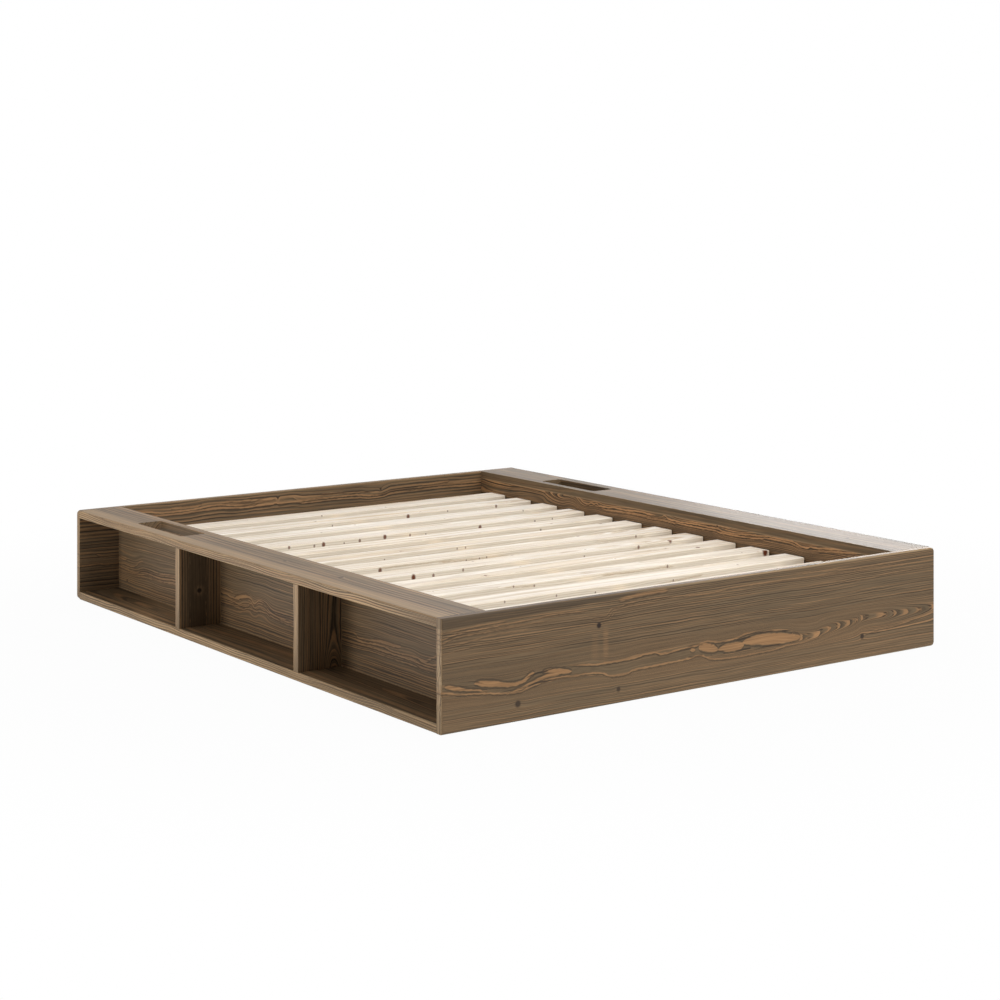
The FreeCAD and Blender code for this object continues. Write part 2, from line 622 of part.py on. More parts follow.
def leg_glide(name):
    """A round foot on the floor, with the pin that is pressed into the leg."""
    return fused(name, cylinder(f"{name}_disc", "Sizes.glide_diameter", "Sizes.glide_thickness"),
                 cylinder(f"{name}_pin", "Sizes.glide_pin_diameter", "Sizes.glide_pin_length",
                          z="Sizes.glide_thickness"))


def staple(name):
    """A wire staple with its crown along x at z = 0 and its two legs up."""
    wire = new_body(name)
    blank = rectangle(wire, "blank", "XZ_Plane", "Sizes.staple_crown", "Derived.staple_height",
                      up="Derived.staple_height / 2", out="-Sizes.staple_wire / 2")
    pad(wire, blank, "Sizes.staple_wire")
    between = rectangle(wire, "between", "XZ_Plane", "Sizes.staple_crown - 2 * Sizes.staple_wire",
                        "Derived.staple_height", up="Derived.staple_height / 2 + Sizes.staple_wire",
                        out="-Sizes.staple_wire / 2")
    pocket(wire, between, "Sizes.staple_wire", along_normal=True)
    return wire


def pointing(direction):
    """The turn that carries +z to a direction."""
    return Rotation(UP, direction)


def end_joints():
    """Every joint of a unit board with an end board: unit sign, end sign and height of the board's underside."""
    bases = (0, place("top_board_base"))
    return [(sign, end, base) for _, sign in SIDES for _, end in ENDS for base in bases]


def end_dowel_places():
    """Dowels along the bed, from the bottom of their bore in an end board inwards."""
    half = size("board_thickness") / 2
    spots = [(sign * place("unit_mid") + way * place("dowel_spread"), end, base + half)
             for sign, end, base in end_joints() for way in BOTH_WAYS]
    ledger = place("ledger_base") + size("ledger_height") / 2
    spots += [(sign * place("ledger_mid"), end, ledger) for _, sign in SIDES for _, end in ENDS]
    start = place("inner_reach") + place("end_seat")
    return [Placement(Vector(x, end * start, z), pointing(Vector(0, -end, 0))) for x, end, z in spots]


def divider_dowel_places():
    """Upright dowels below and above each divider."""
    low = size("board_thickness") - place("board_seat")
    high = place("top_board_base") - place("divider_dowel_reach")
    return [Placement(Vector(sign * place("divider_mid") + across * place("divider_dowel_spread"),
                             way * place("divider_place"), z), Rotation())
            for _, sign in SIDES for way in BOTH_WAYS for across in BOTH_WAYS for z in (low, high)]


def cam_bolt_places():
    """Bolts along the bed, from the bottom of their bore in an end board inwards."""
    start = place("inner_reach") + place("end_seat")
    half = size("board_thickness") / 2
    return [Placement(Vector(sign * place("unit_mid"), end * start, base + half), pointing(Vector(0, -end, 0)))
            for sign, end, base in end_joints()]


def cam_housing_places():
    """Cams in the undersides of the unit boards, each open towards its end board."""
    turns = {1: Rotation(), -1: Rotation(UP, 180)}
    return [Placement(Vector(sign * place("unit_mid"), end * place("cam_place"), base), turns[end])
            for sign, end, base in end_joints()]


def wall_screw_places(reach, low, high):
    """Screws across the bed into the backs of the dividers, two to a divider."""
    return [Placement(Vector(sign * reach, way * place("divider_place"), z), pointing(Vector(sign, 0, 0)))
            for _, sign in SIDES for way in BOTH_WAYS for z in (low, high)]


def shoe_screw_places():
    """Screws through the flanges of the beam shoes into the end boards."""
    reach = place("inner_reach") - size("shoe_steel")
    heights = [place("beam_base") + place(name) for name in ("shoe_low", "shoe_high")]
    return [Placement(Vector(way * place("shoe_screw_place"), end * reach, z), pointing(Vector(0, end, 0)))
            for _, end in ENDS for way in BOTH_WAYS for z in heights]


def leg_places(z):
    """Places on the two centre legs at a height."""
    return [Placement(Vector(0, way * place("leg_place"), z), Rotation()) for way in BOTH_WAYS]


def staple_places():
    """One staple where each strap crosses each slat."""
    z = place("strap_base") - size("staple_wire")
    return [Placement(Vector(sign * place("strap_mid"), place("slat_first") - index * place("slat_pitch"), z),
                      Rotation())
            for _, sign in SIDES for index in range(SLAT_COUNT)]


def group(label, pattern, places):
    """A node of equal, separate fasteners: copies of one pattern piece at the given places."""
    doc.recompute()
    copies = []
    for where in places:
        copy = pattern.Shape.copy()
        copy.Placement = where.multiply(copy.Placement)
        copies.append(copy)
    node = doc.addObject("Part::Feature", label)
    node.Label = label
    node.Shape = Part.makeCompound(copies)
    node.Placement = Placement()
    return node


def build():
    """Make every piece of the bed and list the ones that are nodes."""
    nodes = [end_board(end, sign) for end, sign in ENDS]
    for side, sign in SIDES:
        nodes += [top_board(side, sign), bottom_board(side, sign), back_panel(side, sign), slat_ledger(side, sign)]
        nodes += [divider(side, sign, end, way) for end, way in ENDS]
        nodes.append(slat_strap(side, sign))
    nodes += [slat(number) for number in range(1, SLAT_COUNT + 1)]
    nodes.append(centre_beam())
    for end, way in ENDS:
        nodes += [centre_leg(end, way), beam_shoe(end, way)]

    above_board = size("board_thickness")
    panel_heights = [above_board + place(name) for name in ("panel_low", "panel_high")]
    ledger_heights = [place("ledger_base") + place(name) for name in ("ledger_low", "ledger_high")]
    ledger_face = place("wall_reach") - size("ledger_thickness")
    leg_top = place("beam_base") - place("leg_screw_seat")
    nodes += [
        group("end_dowels", dowel("end_dowel", "Sizes.dowel_length"), end_dowel_places()),
        group("divider_dowels", dowel("divider_dowel", "Sizes.divider_dowel_length"), divider_dowel_places()),
        group("cam_bolts", cam_bolt("cam_bolt"), cam_bolt_places()),
        group("cam_housings", cam_housing("cam_housing"), cam_housing_places()),
        group("panel_screws", sunk_screw("sunk_panel_screw", "panel_screw"),
              wall_screw_places(place("wall_reach"), *panel_heights)),
        group("ledger_screws", sunk_screw("sunk_ledger_screw", "ledger_screw"),
              wall_screw_places(ledger_face, *ledger_heights)),
        group("shoe_screws", pan_screw("shoe_screw"), shoe_screw_places()),
        group("leg_screws", cylinder("leg_screw", "Sizes.leg_screw_diameter", "Sizes.leg_screw_length"),
              leg_places(leg_top)),
        group("leg_glides", leg_glide("leg_glide"), leg_places(0)),
        group("strap_staples", staple("staple"), staple_places()),
    ]
    return nodes


def check(nodes):
    """Stop if an object failed, a cut took nothing away or a node's shape is missing or broken."""
    doc.recompute()
    failed = [thing.Name for thing in doc.Objects if "Invalid" in thing.State or "Error" in thing.State]
    cuts = doc.findObjects("PartDesign::Pocket") + doc.findObjects("PartDesign::Hole")
    empty = [cut.Name for cut in cuts if cut.Shape.Volume >= cut.BaseFeature.Shape.Volume]
    broken = [node.Label for node in nodes if node.Shape.isNull() or not node.Shape.isValid()]
    if failed or empty or broken:
        raise RuntimeError(f"failed {failed}, empty cuts {empty}, broken shapes {broken}")


def export(nodes):
    """Write each node to a file with its own name."""
    os.makedirs("parts", exist_ok=True)
    for node in nodes:
        node.Shape.exportStep(os.path.join("parts", f"{node.Label}.step"))
        print(f"{node.Label}: {len(node.Shape.Solids)} solids, {node.Shape.Volume / 1000:.1f} cubic centimetres")


bed = build()
check(bed)
export(bed)
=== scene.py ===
"""Looks of the low storage bed: stained pine boards, pale spruce slats, woven straps and hardware."""
import math
from functools import partialmethod

import bpy
import numpy as np
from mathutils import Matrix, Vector


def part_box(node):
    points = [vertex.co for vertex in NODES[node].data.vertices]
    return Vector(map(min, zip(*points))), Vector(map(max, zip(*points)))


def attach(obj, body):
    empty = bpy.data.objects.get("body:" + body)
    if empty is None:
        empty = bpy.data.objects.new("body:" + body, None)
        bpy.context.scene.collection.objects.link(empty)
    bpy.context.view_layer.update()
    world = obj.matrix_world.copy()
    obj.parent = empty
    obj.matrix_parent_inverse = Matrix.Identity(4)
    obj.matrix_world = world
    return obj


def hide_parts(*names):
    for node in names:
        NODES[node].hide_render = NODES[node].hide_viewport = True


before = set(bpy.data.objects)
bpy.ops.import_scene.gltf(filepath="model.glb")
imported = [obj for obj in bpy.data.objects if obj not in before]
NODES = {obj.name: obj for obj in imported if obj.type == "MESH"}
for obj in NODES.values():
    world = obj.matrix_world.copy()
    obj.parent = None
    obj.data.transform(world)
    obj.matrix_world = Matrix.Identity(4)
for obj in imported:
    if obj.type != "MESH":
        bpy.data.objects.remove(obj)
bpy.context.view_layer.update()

bl_info = {
    "name": "Storage bed looks",
    "version": (1, 0, 0),
    "blender": (4, 5, 0),
    "location": "3D View > Sidebar > Bed",
    "description": "Stains the boards, finishes the slats and weaves the straps of a low storage bed",
    "category": "Object",
}

MM = 0.001
SLATS = sorted(name for name in NODES if name.startswith("slat_"))

# Row axes that run along the grain, across the board and through its thickness
LYING = ("X", "Z", "Y")
WALL = ("Y", "Z", "X")
SHELF = ("Y", "X", "Z")
UPRIGHT = ("Z", "X", "Y")
CROSSWISE = ("X", "Y", "Z")

# Grey levels through one growth ring: its latewood, and the dark line where the next ring starts
LATEWOOD = ((0.0, 0.0), (0.50, 0.0), (0.68, 0.9), (0.93, 1.0), (0.97, 0.0))
RING_START = ((0.0, 1.0), (0.16, 0.8), (0.36, 0.0), (0.95, 0.0), (0.99, 1.0))

# Thin lines between the rings: period, half width as a share of it, place in the noise
DARK_LINES = (0.0063, 0.2, (1.3, 2.1, 0.8))
PALE_LINES = (0.0088, 0.17, (3.1, 1.7, 0.4))

# Single pale rings, as long threads or as blobs: share of the length over which one fades in,
# core and rim in half heights, then the dark line's distance, reach and strength
THREAD = (0.12, 0.4, 1.2, 0.002, 0.0014, 0.8)
BLOB = (0.03, 0.8, 1.05, 0.0028, 0.0038, 0.6)

# Spacing of the stripes on worn edges, and the shift to a ring's second random number
EDGE_STRIPE = 0.006
SECOND_LUCK = 40.3

# Depths over which the looks of an outer edge and of a dark strip end
EDGE_SKIN = (0.006, 0.009)
SHOW_SKIN = (0.002, 0.005)

# Slats: start of the random draws, seed before the first slat, ends of the drawn lines,
# scale of the listed knots
SLAT_DRAWS = 41
SLAT_FIRST_SEED = 30
SLAT_END = 700
SLAT_KNOT_SCALE = 1.2

# Points along a strap, half the paper's width, the grey that it bounces, units of the picture's width
STRAP_STATIONS = 640
PAPER_REACH = 9.0
PAPER_GREY = (0.5, 0.5, 0.5, 1.0)
PICTURE_WIDTH = 1000

# Lamps: name, setting of the power, then place, target and size in metres
LAMPS = (
    ("top_lamp", "top_power", (0.0, 0.0, 4.2), (0.0, 0.0, 0.0), (4.0, 4.0)),
    ("front_lamp", "front_power", (0.9, -6.0, 2.3), (0.2, 0.0, 0.2), (4.6, 2.2)),
    ("side_lamp", "side_power", (-4.6, 1.0, 0.6), (-0.8, 0.0, 0.15), (1.6, 0.8)),
    ("rear_lamp", "rear_power", (6.0, 3.52, 1.3), (1.0, -0.83, 0.28), (3.1, 2.0)),
    ("rear_fill", "fill_power", (4.36, 5.41, 1.3), (-0.64, 1.06, 0.28), (1.9, 2.0)),
    ("floor_lamp", "glow_power", (-2.05, 0.2, 0.02), (-2.05, 0.2, 1.0), (2.0, 2.2)),
)

# Hardware: material, colour setting, scale of its noise, roughnesses, metal or not, CAD nodes
HARDWARE = (
    ("zinc_steel", "zinc", 60, (0.28, 0.44), 1.0,
     ("beam_shoe_foot", "beam_shoe_head", "cam_bolts", "panel_screws", "ledger_screws", "shoe_screws",
      "leg_screws", "strap_staples")),
    ("cast_zinc", "cast", 150, (0.42, 0.6), 1.0, ("cam_housings",)),
    ("beech_dowel", "beech", 200, (0.5, 0.7), 0.0, ("end_dowels", "divider_dowels")),
    ("glide_plastic", "plastic", 90, (0.4, 0.6), 0.0, ("leg_glides",)),
)

# Settings that every wood finish has: name and description
WOOD_COLOURS = {
    "ground": ("Ground", "Earlywood"),
    "warm": ("Warm ground", "Earlywood in slightly other patches"),
    "flame": ("Flame", "Latewood"),
    "line": ("Ring line", "Line where a ring starts"),
    "knot": ("Knot", "Heart of a knot"),
    # Paler edges turn to the edge colour; on the foot board that is a painted highlight
    "edge": ("Edge", "Edges that were sanded, sawn or rubbed"),
}
WOOD_NUMBERS = {
    "hatch": ("Hatch", "Depth of the fine fibre streaks"),
    "dash": ("Dashes", "Strength of the broken ring lines"),
    "fine": ("Fineness", "How closely the fine lines run"),
    "stripe": ("Stripes", "How strongly the edges are striped"),
    "knot_taper": ("Knot taper", "How fast knots end inside"),
    # How much the paler edges show: wear, and on the foot board a painted highlight
    "wear": ("Wear", "How much the rubbed edges show"),
    "gloss": ("Gloss", "Specular level of the surface"),
    "roughness": ("Roughness", "Roughness of the surface between the rings"),
    "relief": ("Relief", "Strength of the brushed or planed grain"),
}

# Grain of each board in millimetres of the row frame
# axes, show: the row axes, and whether the face that shows is the low or the high one of the last axis
# line: the flame's middle as (along, across)
# wide: half the flame's height as (along, height)
# phase: growth rings passed in the flame as (along, rings)
# pith, pitch: how softly the rings bend round the flame, and their spacing
# above, below: how strongly rings show on either side of the flame
# spread: how far from the flame rings stay pale
# bold: how dark the lines by the flame are
# fine: how closely the thin lines run, where the finish's wouldn't do
# edge, flame: the board's own colours, where the finish's wouldn't do
# calm: how much quieter the rings are on the broad faces than on the edges
# knots: (along, across, radius) and, for slats, the depth
# streaks: (half height, strength, line) of single pale rings, where a blob's line has half heights too
# smears: (along, middle across, half length, half width, strength) of pale marks across the grain
# band: the lower border of a dark stave
# pale, dim: (from, to, share) across the board, of strips that are paler or darker. The foot board's pale
# strip low on its face is painted light from the floor.
# rub, highlight_run: reach of the paler long edges, and where along the board they start to pale and are
# full. These are rubbed edges, and on the foot board a painted highlight.
# unroll: whether the streaks' places go on from the show face over the front, as if the two lay flat
GRAIN_DEFAULTS = dict(
    above=0.8, below=0.8, spread=14, bold=0.4, calm=0.0, rub=3.5, unroll=False,
    knots=(), streaks=(), smears=(), pale=(), dim=(),
)
GRAIN = {
    # The foot board's paler long edges in its right part are a painted highlight, and its pale strip low on
    # the face is painted light from the floor; its edge colour is the colour of both
    "foot_board": dict(
        axes=LYING, show="low", pith=16, pitch=7.0, above=0.3, below=0.45, seed=1, rub=7,
        edge=(200, 171, 134), highlight_run=(-420, 60), pale=((110, 30, 0.06),), fine=1.25,
        knots=((-623, 44, 12), (-369, 206, 10), (-306, 36, 9), (561, 62, 10)),
        smears=((-347, 158, 52, 14, 0.4), (-382, 154, 44, 18, 0.24)),
        line=((-846, 108), (-757, 104), (-649, 92), (-560, 100), (-454, 103), (-359, 96), (-313, 90),
            (-250, 94), (-181, 96), (-100, 98), (-38, 101), (24, 95), (75, 95), (120, 97), (202, 99),
            (270, 94), (327, 89), (365, 88), (402, 94), (443, 101), (478, 104), (516, 107), (547, 112),
            (567, 115), (657, 113), (745, 111), (801, 110), (850, 112)),
        wide=((-846, 6), (-757, 8), (-700, 10), (-620, 10), (-560, 9), (-480, 8), (-440, 9), (-346, 12),
            (-200, 14), (-80, 12), (-38, 10), (-10, 13), (24, 9), (75, 13), (112, 11), (166, 15), (220, 17),
            (290, 12), (327, 3), (850, 1)),
        phase=((-846, 0.35), (300, 0.35), (318, 0.5), (335, 0.95), (402, 2.0), (443, 3.0), (478, 4.0),
            (516, 5.0), (547, 6.0), (567, 7.0), (657, 8.0), (697, 9.0), (745, 10.0), (801, 11.0),
            (850, 12.0)),
        streaks=(
            (0, 0.9, ((-843, 115, 0.5), (-831, 113, 3.4), (-816, 109, 4.8), (-799, 105, 4.3),
                (-778, 100, 2.4), (-748, 95, 1.5), (-713, 88, 0.5))),
            (0, 0.95, ((-757, 112, 0.5), (-745, 111, 4.4), (-728, 108, 7.3), (-707, 105, 7.8),
                (-683, 101, 6.8), (-659, 96, 5.4), (-631, 94, 4.4), (-610, 97, 4.4), (-595, 104, 5.4),
                (-582, 111, 4.5), (-569, 114, 0.5))),
            (0, 0.95, ((-550, 112, 0.5), (-536, 113, 3.5), (-511, 110, 5.5), (-486, 106, 6.5),
                (-467, 103, 4.5), (-454, 102, 0.5))),
            (0, 0.9, ((-649, 74, 0.5), (-628, 78, 2), (-598, 85, 3), (-561, 95, 4), (-523, 101, 4.5),
                (-486, 101, 1))),
            (0, 0.8, ((-67, 104, 0.5), (-57, 104, 4.7), (-48, 102, 0.5))),
            (0, 0.95, ((-38, 107, 0.5), (-28, 107, 8.9), (-4, 103, 12), (14, 99, 10), (31, 93, 1))),
            (0, 0.95, ((29, 93, 1), (49, 95, 7.9), (74, 94, 11.7), (98, 94, 11.7), (112, 94, 8.5),
                (123, 96, 1))),
            (0, 1.0, ((112, 99, 1), (134, 102, 8.5), (166, 102, 13.4), (202, 99, 16), (246, 96, 15.6),
                (283, 93, 11.9), (312, 91, 8.1), (330, 90, 1))),
            (2.2, 0.85, ((-1010, 112), (-845, 101), (-796, 91), (-737, 86), (-665, 76), (-628, 73),
                (-598, 78), (-561, 85), (-505, 92), (-448, 90), (-404, 89), (-359, 84), (-326, 73),
                (-294, 71), (-254, 79), (-208, 80), (-147, 81), (-66, 84), (-38, 87), (-15, 80), (15, 71),
                (59, 67), (109, 66), (181, 67), (231, 68), (272, 73), (327, 74), (387, 79), (480, 86))),
            (2.3, 0.85, ((-500, 120), (-404, 112), (-359, 108), (-313, 108), (-248, 109), (-214, 114),
                (-188, 114), (-161, 107), (-120, 110), (-66, 113), (-42, 114), (-10, 120), (38, 113),
                (95, 116), (137, 124), (220, 127))),
            (2.0, 0.65, ((540, 58), (617, 74), (681, 76), (745, 83), (850, 96), (920, 104))),
            (1.8, 0.6, ((-900, 240), (-807, 247), (-748, 251), (-640, 253))),
            (2.0, 0.65, ((-920, 222), (-846, 230), (-813, 237), (-772, 241), (-689, 244), (-598, 247),
                (-505, 251), (-370, 245))),
            (1.8, 0.55, ((-910, 213), (-846, 221), (-819, 228), (-778, 232), (-689, 234), (-616, 237),
                (-510, 239))),
            (1.6, 0.45, ((-910, 205), (-846, 209), (-807, 212), (-748, 219), (-671, 224), (-560, 223))),
            (1.6, 0.38, ((-910, 188), (-846, 194), (-796, 199), (-713, 205), (-610, 204))),
            (1.8, 0.55, ((-430, 239), (-384, 235), (-355, 230), (-338, 235), (-326, 244), (-303, 246),
                (-261, 253), (-208, 255), (-141, 253), (-66, 248), (3, 246), (74, 251), (181, 252),
                (340, 250))),
            (1.6, 0.5, ((-410, 231), (-368, 224), (-346, 224), (-331, 230), (-320, 239), (-294, 241),
                (-248, 244), (-160, 243))),
            (1.5, 0.4, ((-380, 216), (-339, 218), (-326, 226), (-313, 232), (-265, 232))),
            (5.5, 0.75, ((-315, 262), (-228, 269), (-130, 271))),
            (2.0, 0.5, ((160, 252), (327, 250), (440, 248), (555, 247), (910, 245))),
            (2.2, 0.45, ((270, 265), (447, 259), (555, 254), (681, 255), (910, 259))),
            (2.2, 0.42, ((300, 224), (462, 227), (524, 220), (602, 222), (665, 227), (910, 231))),
        ),
        band=((-846, 253), (-689, 256), (-579, 260), (-480, 261), (-391, 265), (-313, 267), (-150, 275),
            (850, 283)),
    ),
    "head_board": dict(
        axes=LYING, show="low", pith=6, pitch=12, above=0.7, below=0.45, seed=2, rub=7, spread=34, fine=0.6,
        edge=(160, 135, 103), phase=((-850, 0.3), (850, 0.3)), knots=((-131, 256, 5), (277, 253, 6)),
        line=((-850, 255), (-612, 252), (-497, 247), (-369, 254), (-275, 247), (-207, 250), (-138, 250),
            (-84, 250), (-26, 243), (73, 242), (193, 240), (254, 234), (324, 244), (475, 246), (716, 244),
            (850, 244)),
        streaks=(
            (0, 0.8, ((-530, 259, 1), (-510, 258, 3.3), (-453, 257, 3.3), (-415, 260, 1))),
            (3.2, 0.93, ((-850, 262), (-612, 255), (-551, 247), (-497, 247), (-442, 249), (-406, 252),
                (-369, 255), (-320, 251), (-275, 247), (-238, 245), (-207, 251), (-184, 255), (-130, 260))),
            (0, 0.8, ((-222, 247, 1), (-200, 252, 4), (-173, 256, 4.5), (-140, 258, 1))),
            (2.9, 0.88, ((-850, 240), (-587, 239), (-497, 239), (-424, 242), (-350, 242), (-294, 240),
                (-219, 237), (-169, 237), (-150, 239), (-138, 243), (-127, 236), (-111, 236), (-84, 240),
                (-45, 240), (80, 236))),
            (2.5, 0.78, ((-362, 258), (-313, 262), (-275, 260), (-224, 260))),
            (3.0, 0.93, ((-150, 246), (-111, 249), (-96, 256), (-81, 256), (-61, 248), (-26, 243),
                (13, 243), (73, 242), (133, 242), (193, 240), (254, 234), (295, 237), (324, 244),
                (357, 245), (399, 243), (441, 244), (475, 246), (526, 247), (590, 246), (655, 245),
                (850, 243))),
            (2.5, 0.83, ((25, 256), (113, 255), (153, 251), (193, 251), (250, 247))),
            (3.8, 0.83, ((440, 252), (504, 255), (572, 260))),
            (2.4, 0.7, ((-930, 103), (-821, 105), (-789, 107), (-757, 101), (-600, 102))),
            (2.2, 0.55, ((-930, 147), (-814, 145), (-783, 134), (-751, 126), (-600, 124))),
        ),
    ),
    "left_back_panel": dict(
        axes=WALL, show="low", pith=6, pitch=7.2, above=0.2, below=0.9, seed=3, spread=20,
        phase=((-1008, 0.3), (1008, 0.3)), knots=((948, 55, 6),),
        line=((-1008, 112), (-814, 111), (-742, 108), (-695, 113), (-591, 110), (-504, 111), (-444, 107),
            (-348, 106), (-98, 107), (-20, 106), (48, 117), (94, 126), (129, 116), (158, 126), (212, 116),
            (272, 112), (339, 112), (614, 112), (735, 104), (810, 105), (915, 90), (1008, 94)),
        streaks=(
            (0, 0.6, ((945, 124, 1), (965, 122, 5.5), (990, 120, 6), (1030, 118, 1))),
            (2.4, 0.7, ((815, 130), (852, 129), (866, 123), (894, 108), (922, 104), (958, 105),
                (1060, 98))),
            (2.4, 0.85, ((352, 108), (614, 113), (654, 110), (687, 108), (735, 104), (776, 104), (810, 105),
                (859, 97), (915, 89), (951, 90), (1080, 96))),
            (0, 0.7, ((620, 114, 1), (650, 113, 4), (694, 110, 4), (735, 104, 1))),
            (1.9, 0.8, ((352, 98), (614, 103), (680, 97), (735, 94), (789, 95), (859, 87), (980, 80))),
            (1.6, 0.7, ((352, 88), (614, 92), (721, 86), (789, 85), (940, 72))),
            (2.1, 0.6, ((245, 125), (284, 128), (350, 130))),
            (2.4, 0.85, ((-420, 108), (-98, 107), (-54, 105), (-20, 105), (14, 111), (48, 117), (77, 124),
                (94, 128), (106, 125), (117, 117), (129, 115), (141, 123), (158, 126), (182, 124),
                (212, 116), (236, 111), (272, 112), (296, 116), (440, 108))),
            (0, 0.9, ((150, 128, 1), (176, 126, 5), (200, 122, 5.5), (224, 116, 4.5), (245, 111, 1))),
            (2.1, 0.85, ((-420, 97), (-98, 96), (-54, 94), (-9, 98), (37, 102), (77, 106), (94, 108),
                (117, 102), (135, 106), (147, 111), (158, 105), (176, 99), (206, 97), (242, 100),
                (284, 102), (440, 98))),
            (1.8, 0.75, ((-420, 85), (-98, 86), (-20, 89), (37, 93), (83, 98), (123, 93), (153, 95),
                (200, 86), (260, 88), (440, 86))),
            (2.4, 0.8, ((-665, 127), (-634, 125), (-591, 123), (-562, 123), (-528, 122), (-484, 117),
                (-444, 115), (-424, 120), (-404, 124), (-384, 123), (-290, 104))),
            (0, 0.75, ((-645, 127, 1), (-610, 125, 4), (-582, 125, 4), (-543, 124, 3), (-504, 120, 1))),
            (2.2, 0.85, ((-1100, 116), (-814, 111), (-769, 106), (-742, 107), (-723, 112), (-695, 113),
                (-658, 111), (-615, 109), (-591, 110), (-553, 113), (-504, 111), (-444, 107), (-394, 109),
                (-270, 103))),
            (1.9, 0.8, ((-1100, 102), (-814, 100), (-732, 100), (-686, 102), (-567, 101), (-494, 100),
                (-419, 97), (-270, 93))),
            (1.6, 0.7, ((-1100, 92), (-814, 90), (-639, 90), (-543, 90), (-444, 87), (-260, 80))),
            (3.0, 0.7, ((-870, 142), (-814, 133), (-787, 125), (-769, 115), (-751, 111), (-732, 112),
                (-700, 116))),
            (1.6, 0.55, ((-800, 50), (-639, 54), (-543, 56), (-430, 53))),
        ),
    ),
    "right_back_panel": dict(
        axes=WALL, show="low", pith=6, pitch=7.5, above=1.0, below=1.0, seed=4, spread=60, fine=0.6,
        bold=1.0, flame=(191, 143, 97), knots=((-262, 253, 6), (-640, 206, 11)),
        line=((-1008, 254), (-809, 256), (-697, 246), (-650, 241), (-591, 252), (-503, 252), (-414, 246),
            (-323, 239), (-249, 245), (-86, 242), (-7, 250), (48, 247), (139, 248), (296, 241), (344, 246),
            (404, 241), (476, 262), (553, 250), (645, 268), (718, 270), (875, 262), (1008, 268)),
        phase=((-1008, 0.3), (400, 0.3), (460, 1.0), (500, 2.2), (540, 3.4), (580, 4.4), (620, 5.2),
            (700, 5.5), (1008, 6.0)),
        streaks=(
            (2.6, 1.0, ((10, 246), (48, 247), (73, 247), (103, 249), (139, 248), (191, 245), (243, 245),
                (296, 241), (328, 241), (344, 248), (355, 244), (371, 246), (387, 240), (404, 241),
                (431, 251), (470, 264))),
            (2.6, 1.0, ((-900, 262), (-809, 256), (-759, 252), (-726, 249), (-697, 246), (-680, 246),
                (-667, 242), (-650, 241), (-633, 243), (-612, 249), (-591, 252), (-547, 252), (-503, 252),
                (-459, 249), (-414, 246), (-369, 242), (-323, 239), (-300, 239), (-277, 242), (-249, 245),
                (-221, 244), (-183, 245), (-135, 244), (-86, 242), (-47, 243), (-22, 246), (-7, 252),
                (7, 246), (22, 247), (70, 262))),
            (2.5, 1.0, ((-680, 236), (-621, 240), (-582, 245), (-525, 246), (-459, 241), (-392, 236),
                (-332, 234), (-286, 234), (-239, 237), (-183, 236), (-135, 236), (30, 232))),
            (2.5, 0.95, ((-335, 252), (-277, 255), (-206, 252), (-115, 249))),
            (2.8, 0.78, ((-920, 264), (-841, 252), (-780, 246), (-690, 237))),
            (2.7, 0.78, ((-90, 233), (2, 237), (53, 235), (113, 237), (217, 235), (330, 231))),
            (2.8, 0.68, ((590, 252), (743, 254), (832, 257), (940, 264))),
        ),
    ),
    "left_top_board": dict(
        axes=SHELF, show="high", pith=120, pitch=11, seed=5, calm=0.2, edge=(176, 147, 110), fine=0.5,
        phase=((-1008, 0.0), (-400, 1.2), (100, 1.5), (1008, 3.4)),
        knots=((-134, -764, 8), (-430, -763, 9)), pale=((-786, -822, 0.4), (-748, -714, 0.12)),
        line=((-1008, -646), (-300, -640), (400, -650), (1008, -642)),
    ),
    "right_top_board": dict(
        axes=SHELF, show="high", pith=120, pitch=11, seed=6, calm=0.8, edge=(160, 134, 100), fine=0.5,
        line=((-1008, 838), (-300, 846), (400, 834), (1008, 842)),
        phase=((-1008, 0.0), (-300, 1.4), (300, 1.8), (1008, 4.0)), knots=((-277, 749, 7), (-772, 761, 7)),
        dim=((770, 712, 0.8), (836, 841, 1.0)),
    ),
    "left_bottom_board": dict(
        axes=SHELF, show="high", pith=130, pitch=15, seed=7, calm=0.1, fine=0.4, edge=(203, 171, 130),
        phase=((-1008, 0.0), (-300, 1.6), (500, 2.2), (1008, 4.4)),
        line=((-1008, -770), (-200, -758), (500, -780), (1008, -766)),
        streaks=(
            (2.6, 0.6, ((-1008, -788), (-832, -780), (-733, -775), (-641, -777), (-542, -775),
                (-380, -762))),
            (2.6, 0.5, ((-140, -762), (9, -778), (85, -784), (240, -796))),
            (2.6, 0.5, ((500, -758), (662, -778), (820, -796))),
        ),
    ),
    "right_bottom_board": dict(
        axes=SHELF, show="high", pith=130, pitch=15, seed=8, calm=0.1, fine=0.4,
        line=((-1008, 766), (-200, 780), (500, 758), (1008, 770)),
        phase=((-1008, 3.4), (-300, 2.0), (500, 1.2), (1008, 0.0)),
    ),
    "left_divider_head": dict(
        axes=UPRIGHT, show="low", pith=60, pitch=6.8, above=1.0, below=1.0, seed=9,
        line=((24, -786), (256, -792)), wide=((24, 34), (128, 30), (256, 34)),
        phase=((24, 1.06), (256, 1.1)), knots=((128, -784, 10),),
    ),
    "left_divider_foot": dict(
        axes=UPRIGHT, show="low", pith=26, pitch=6.4, above=0.7, below=0.7, seed=10,
        line=((24, -738), (110, -740), (256, -734)),
        phase=((24, 0.4), (44, 1.4), (62, 2.4), (80, 3.2), (110, 3.8), (256, 4.4)),
    ),
    "right_divider_head": dict(
        axes=UPRIGHT, show="low", pith=40, pitch=4.6, above=0.7, below=0.7, seed=11,
        line=((24, 770), (256, 776)), phase=((24, 3.6), (120, 2.2), (256, 0.4)), knots=((190, 806, 7),),
    ),
    "right_divider_foot": dict(
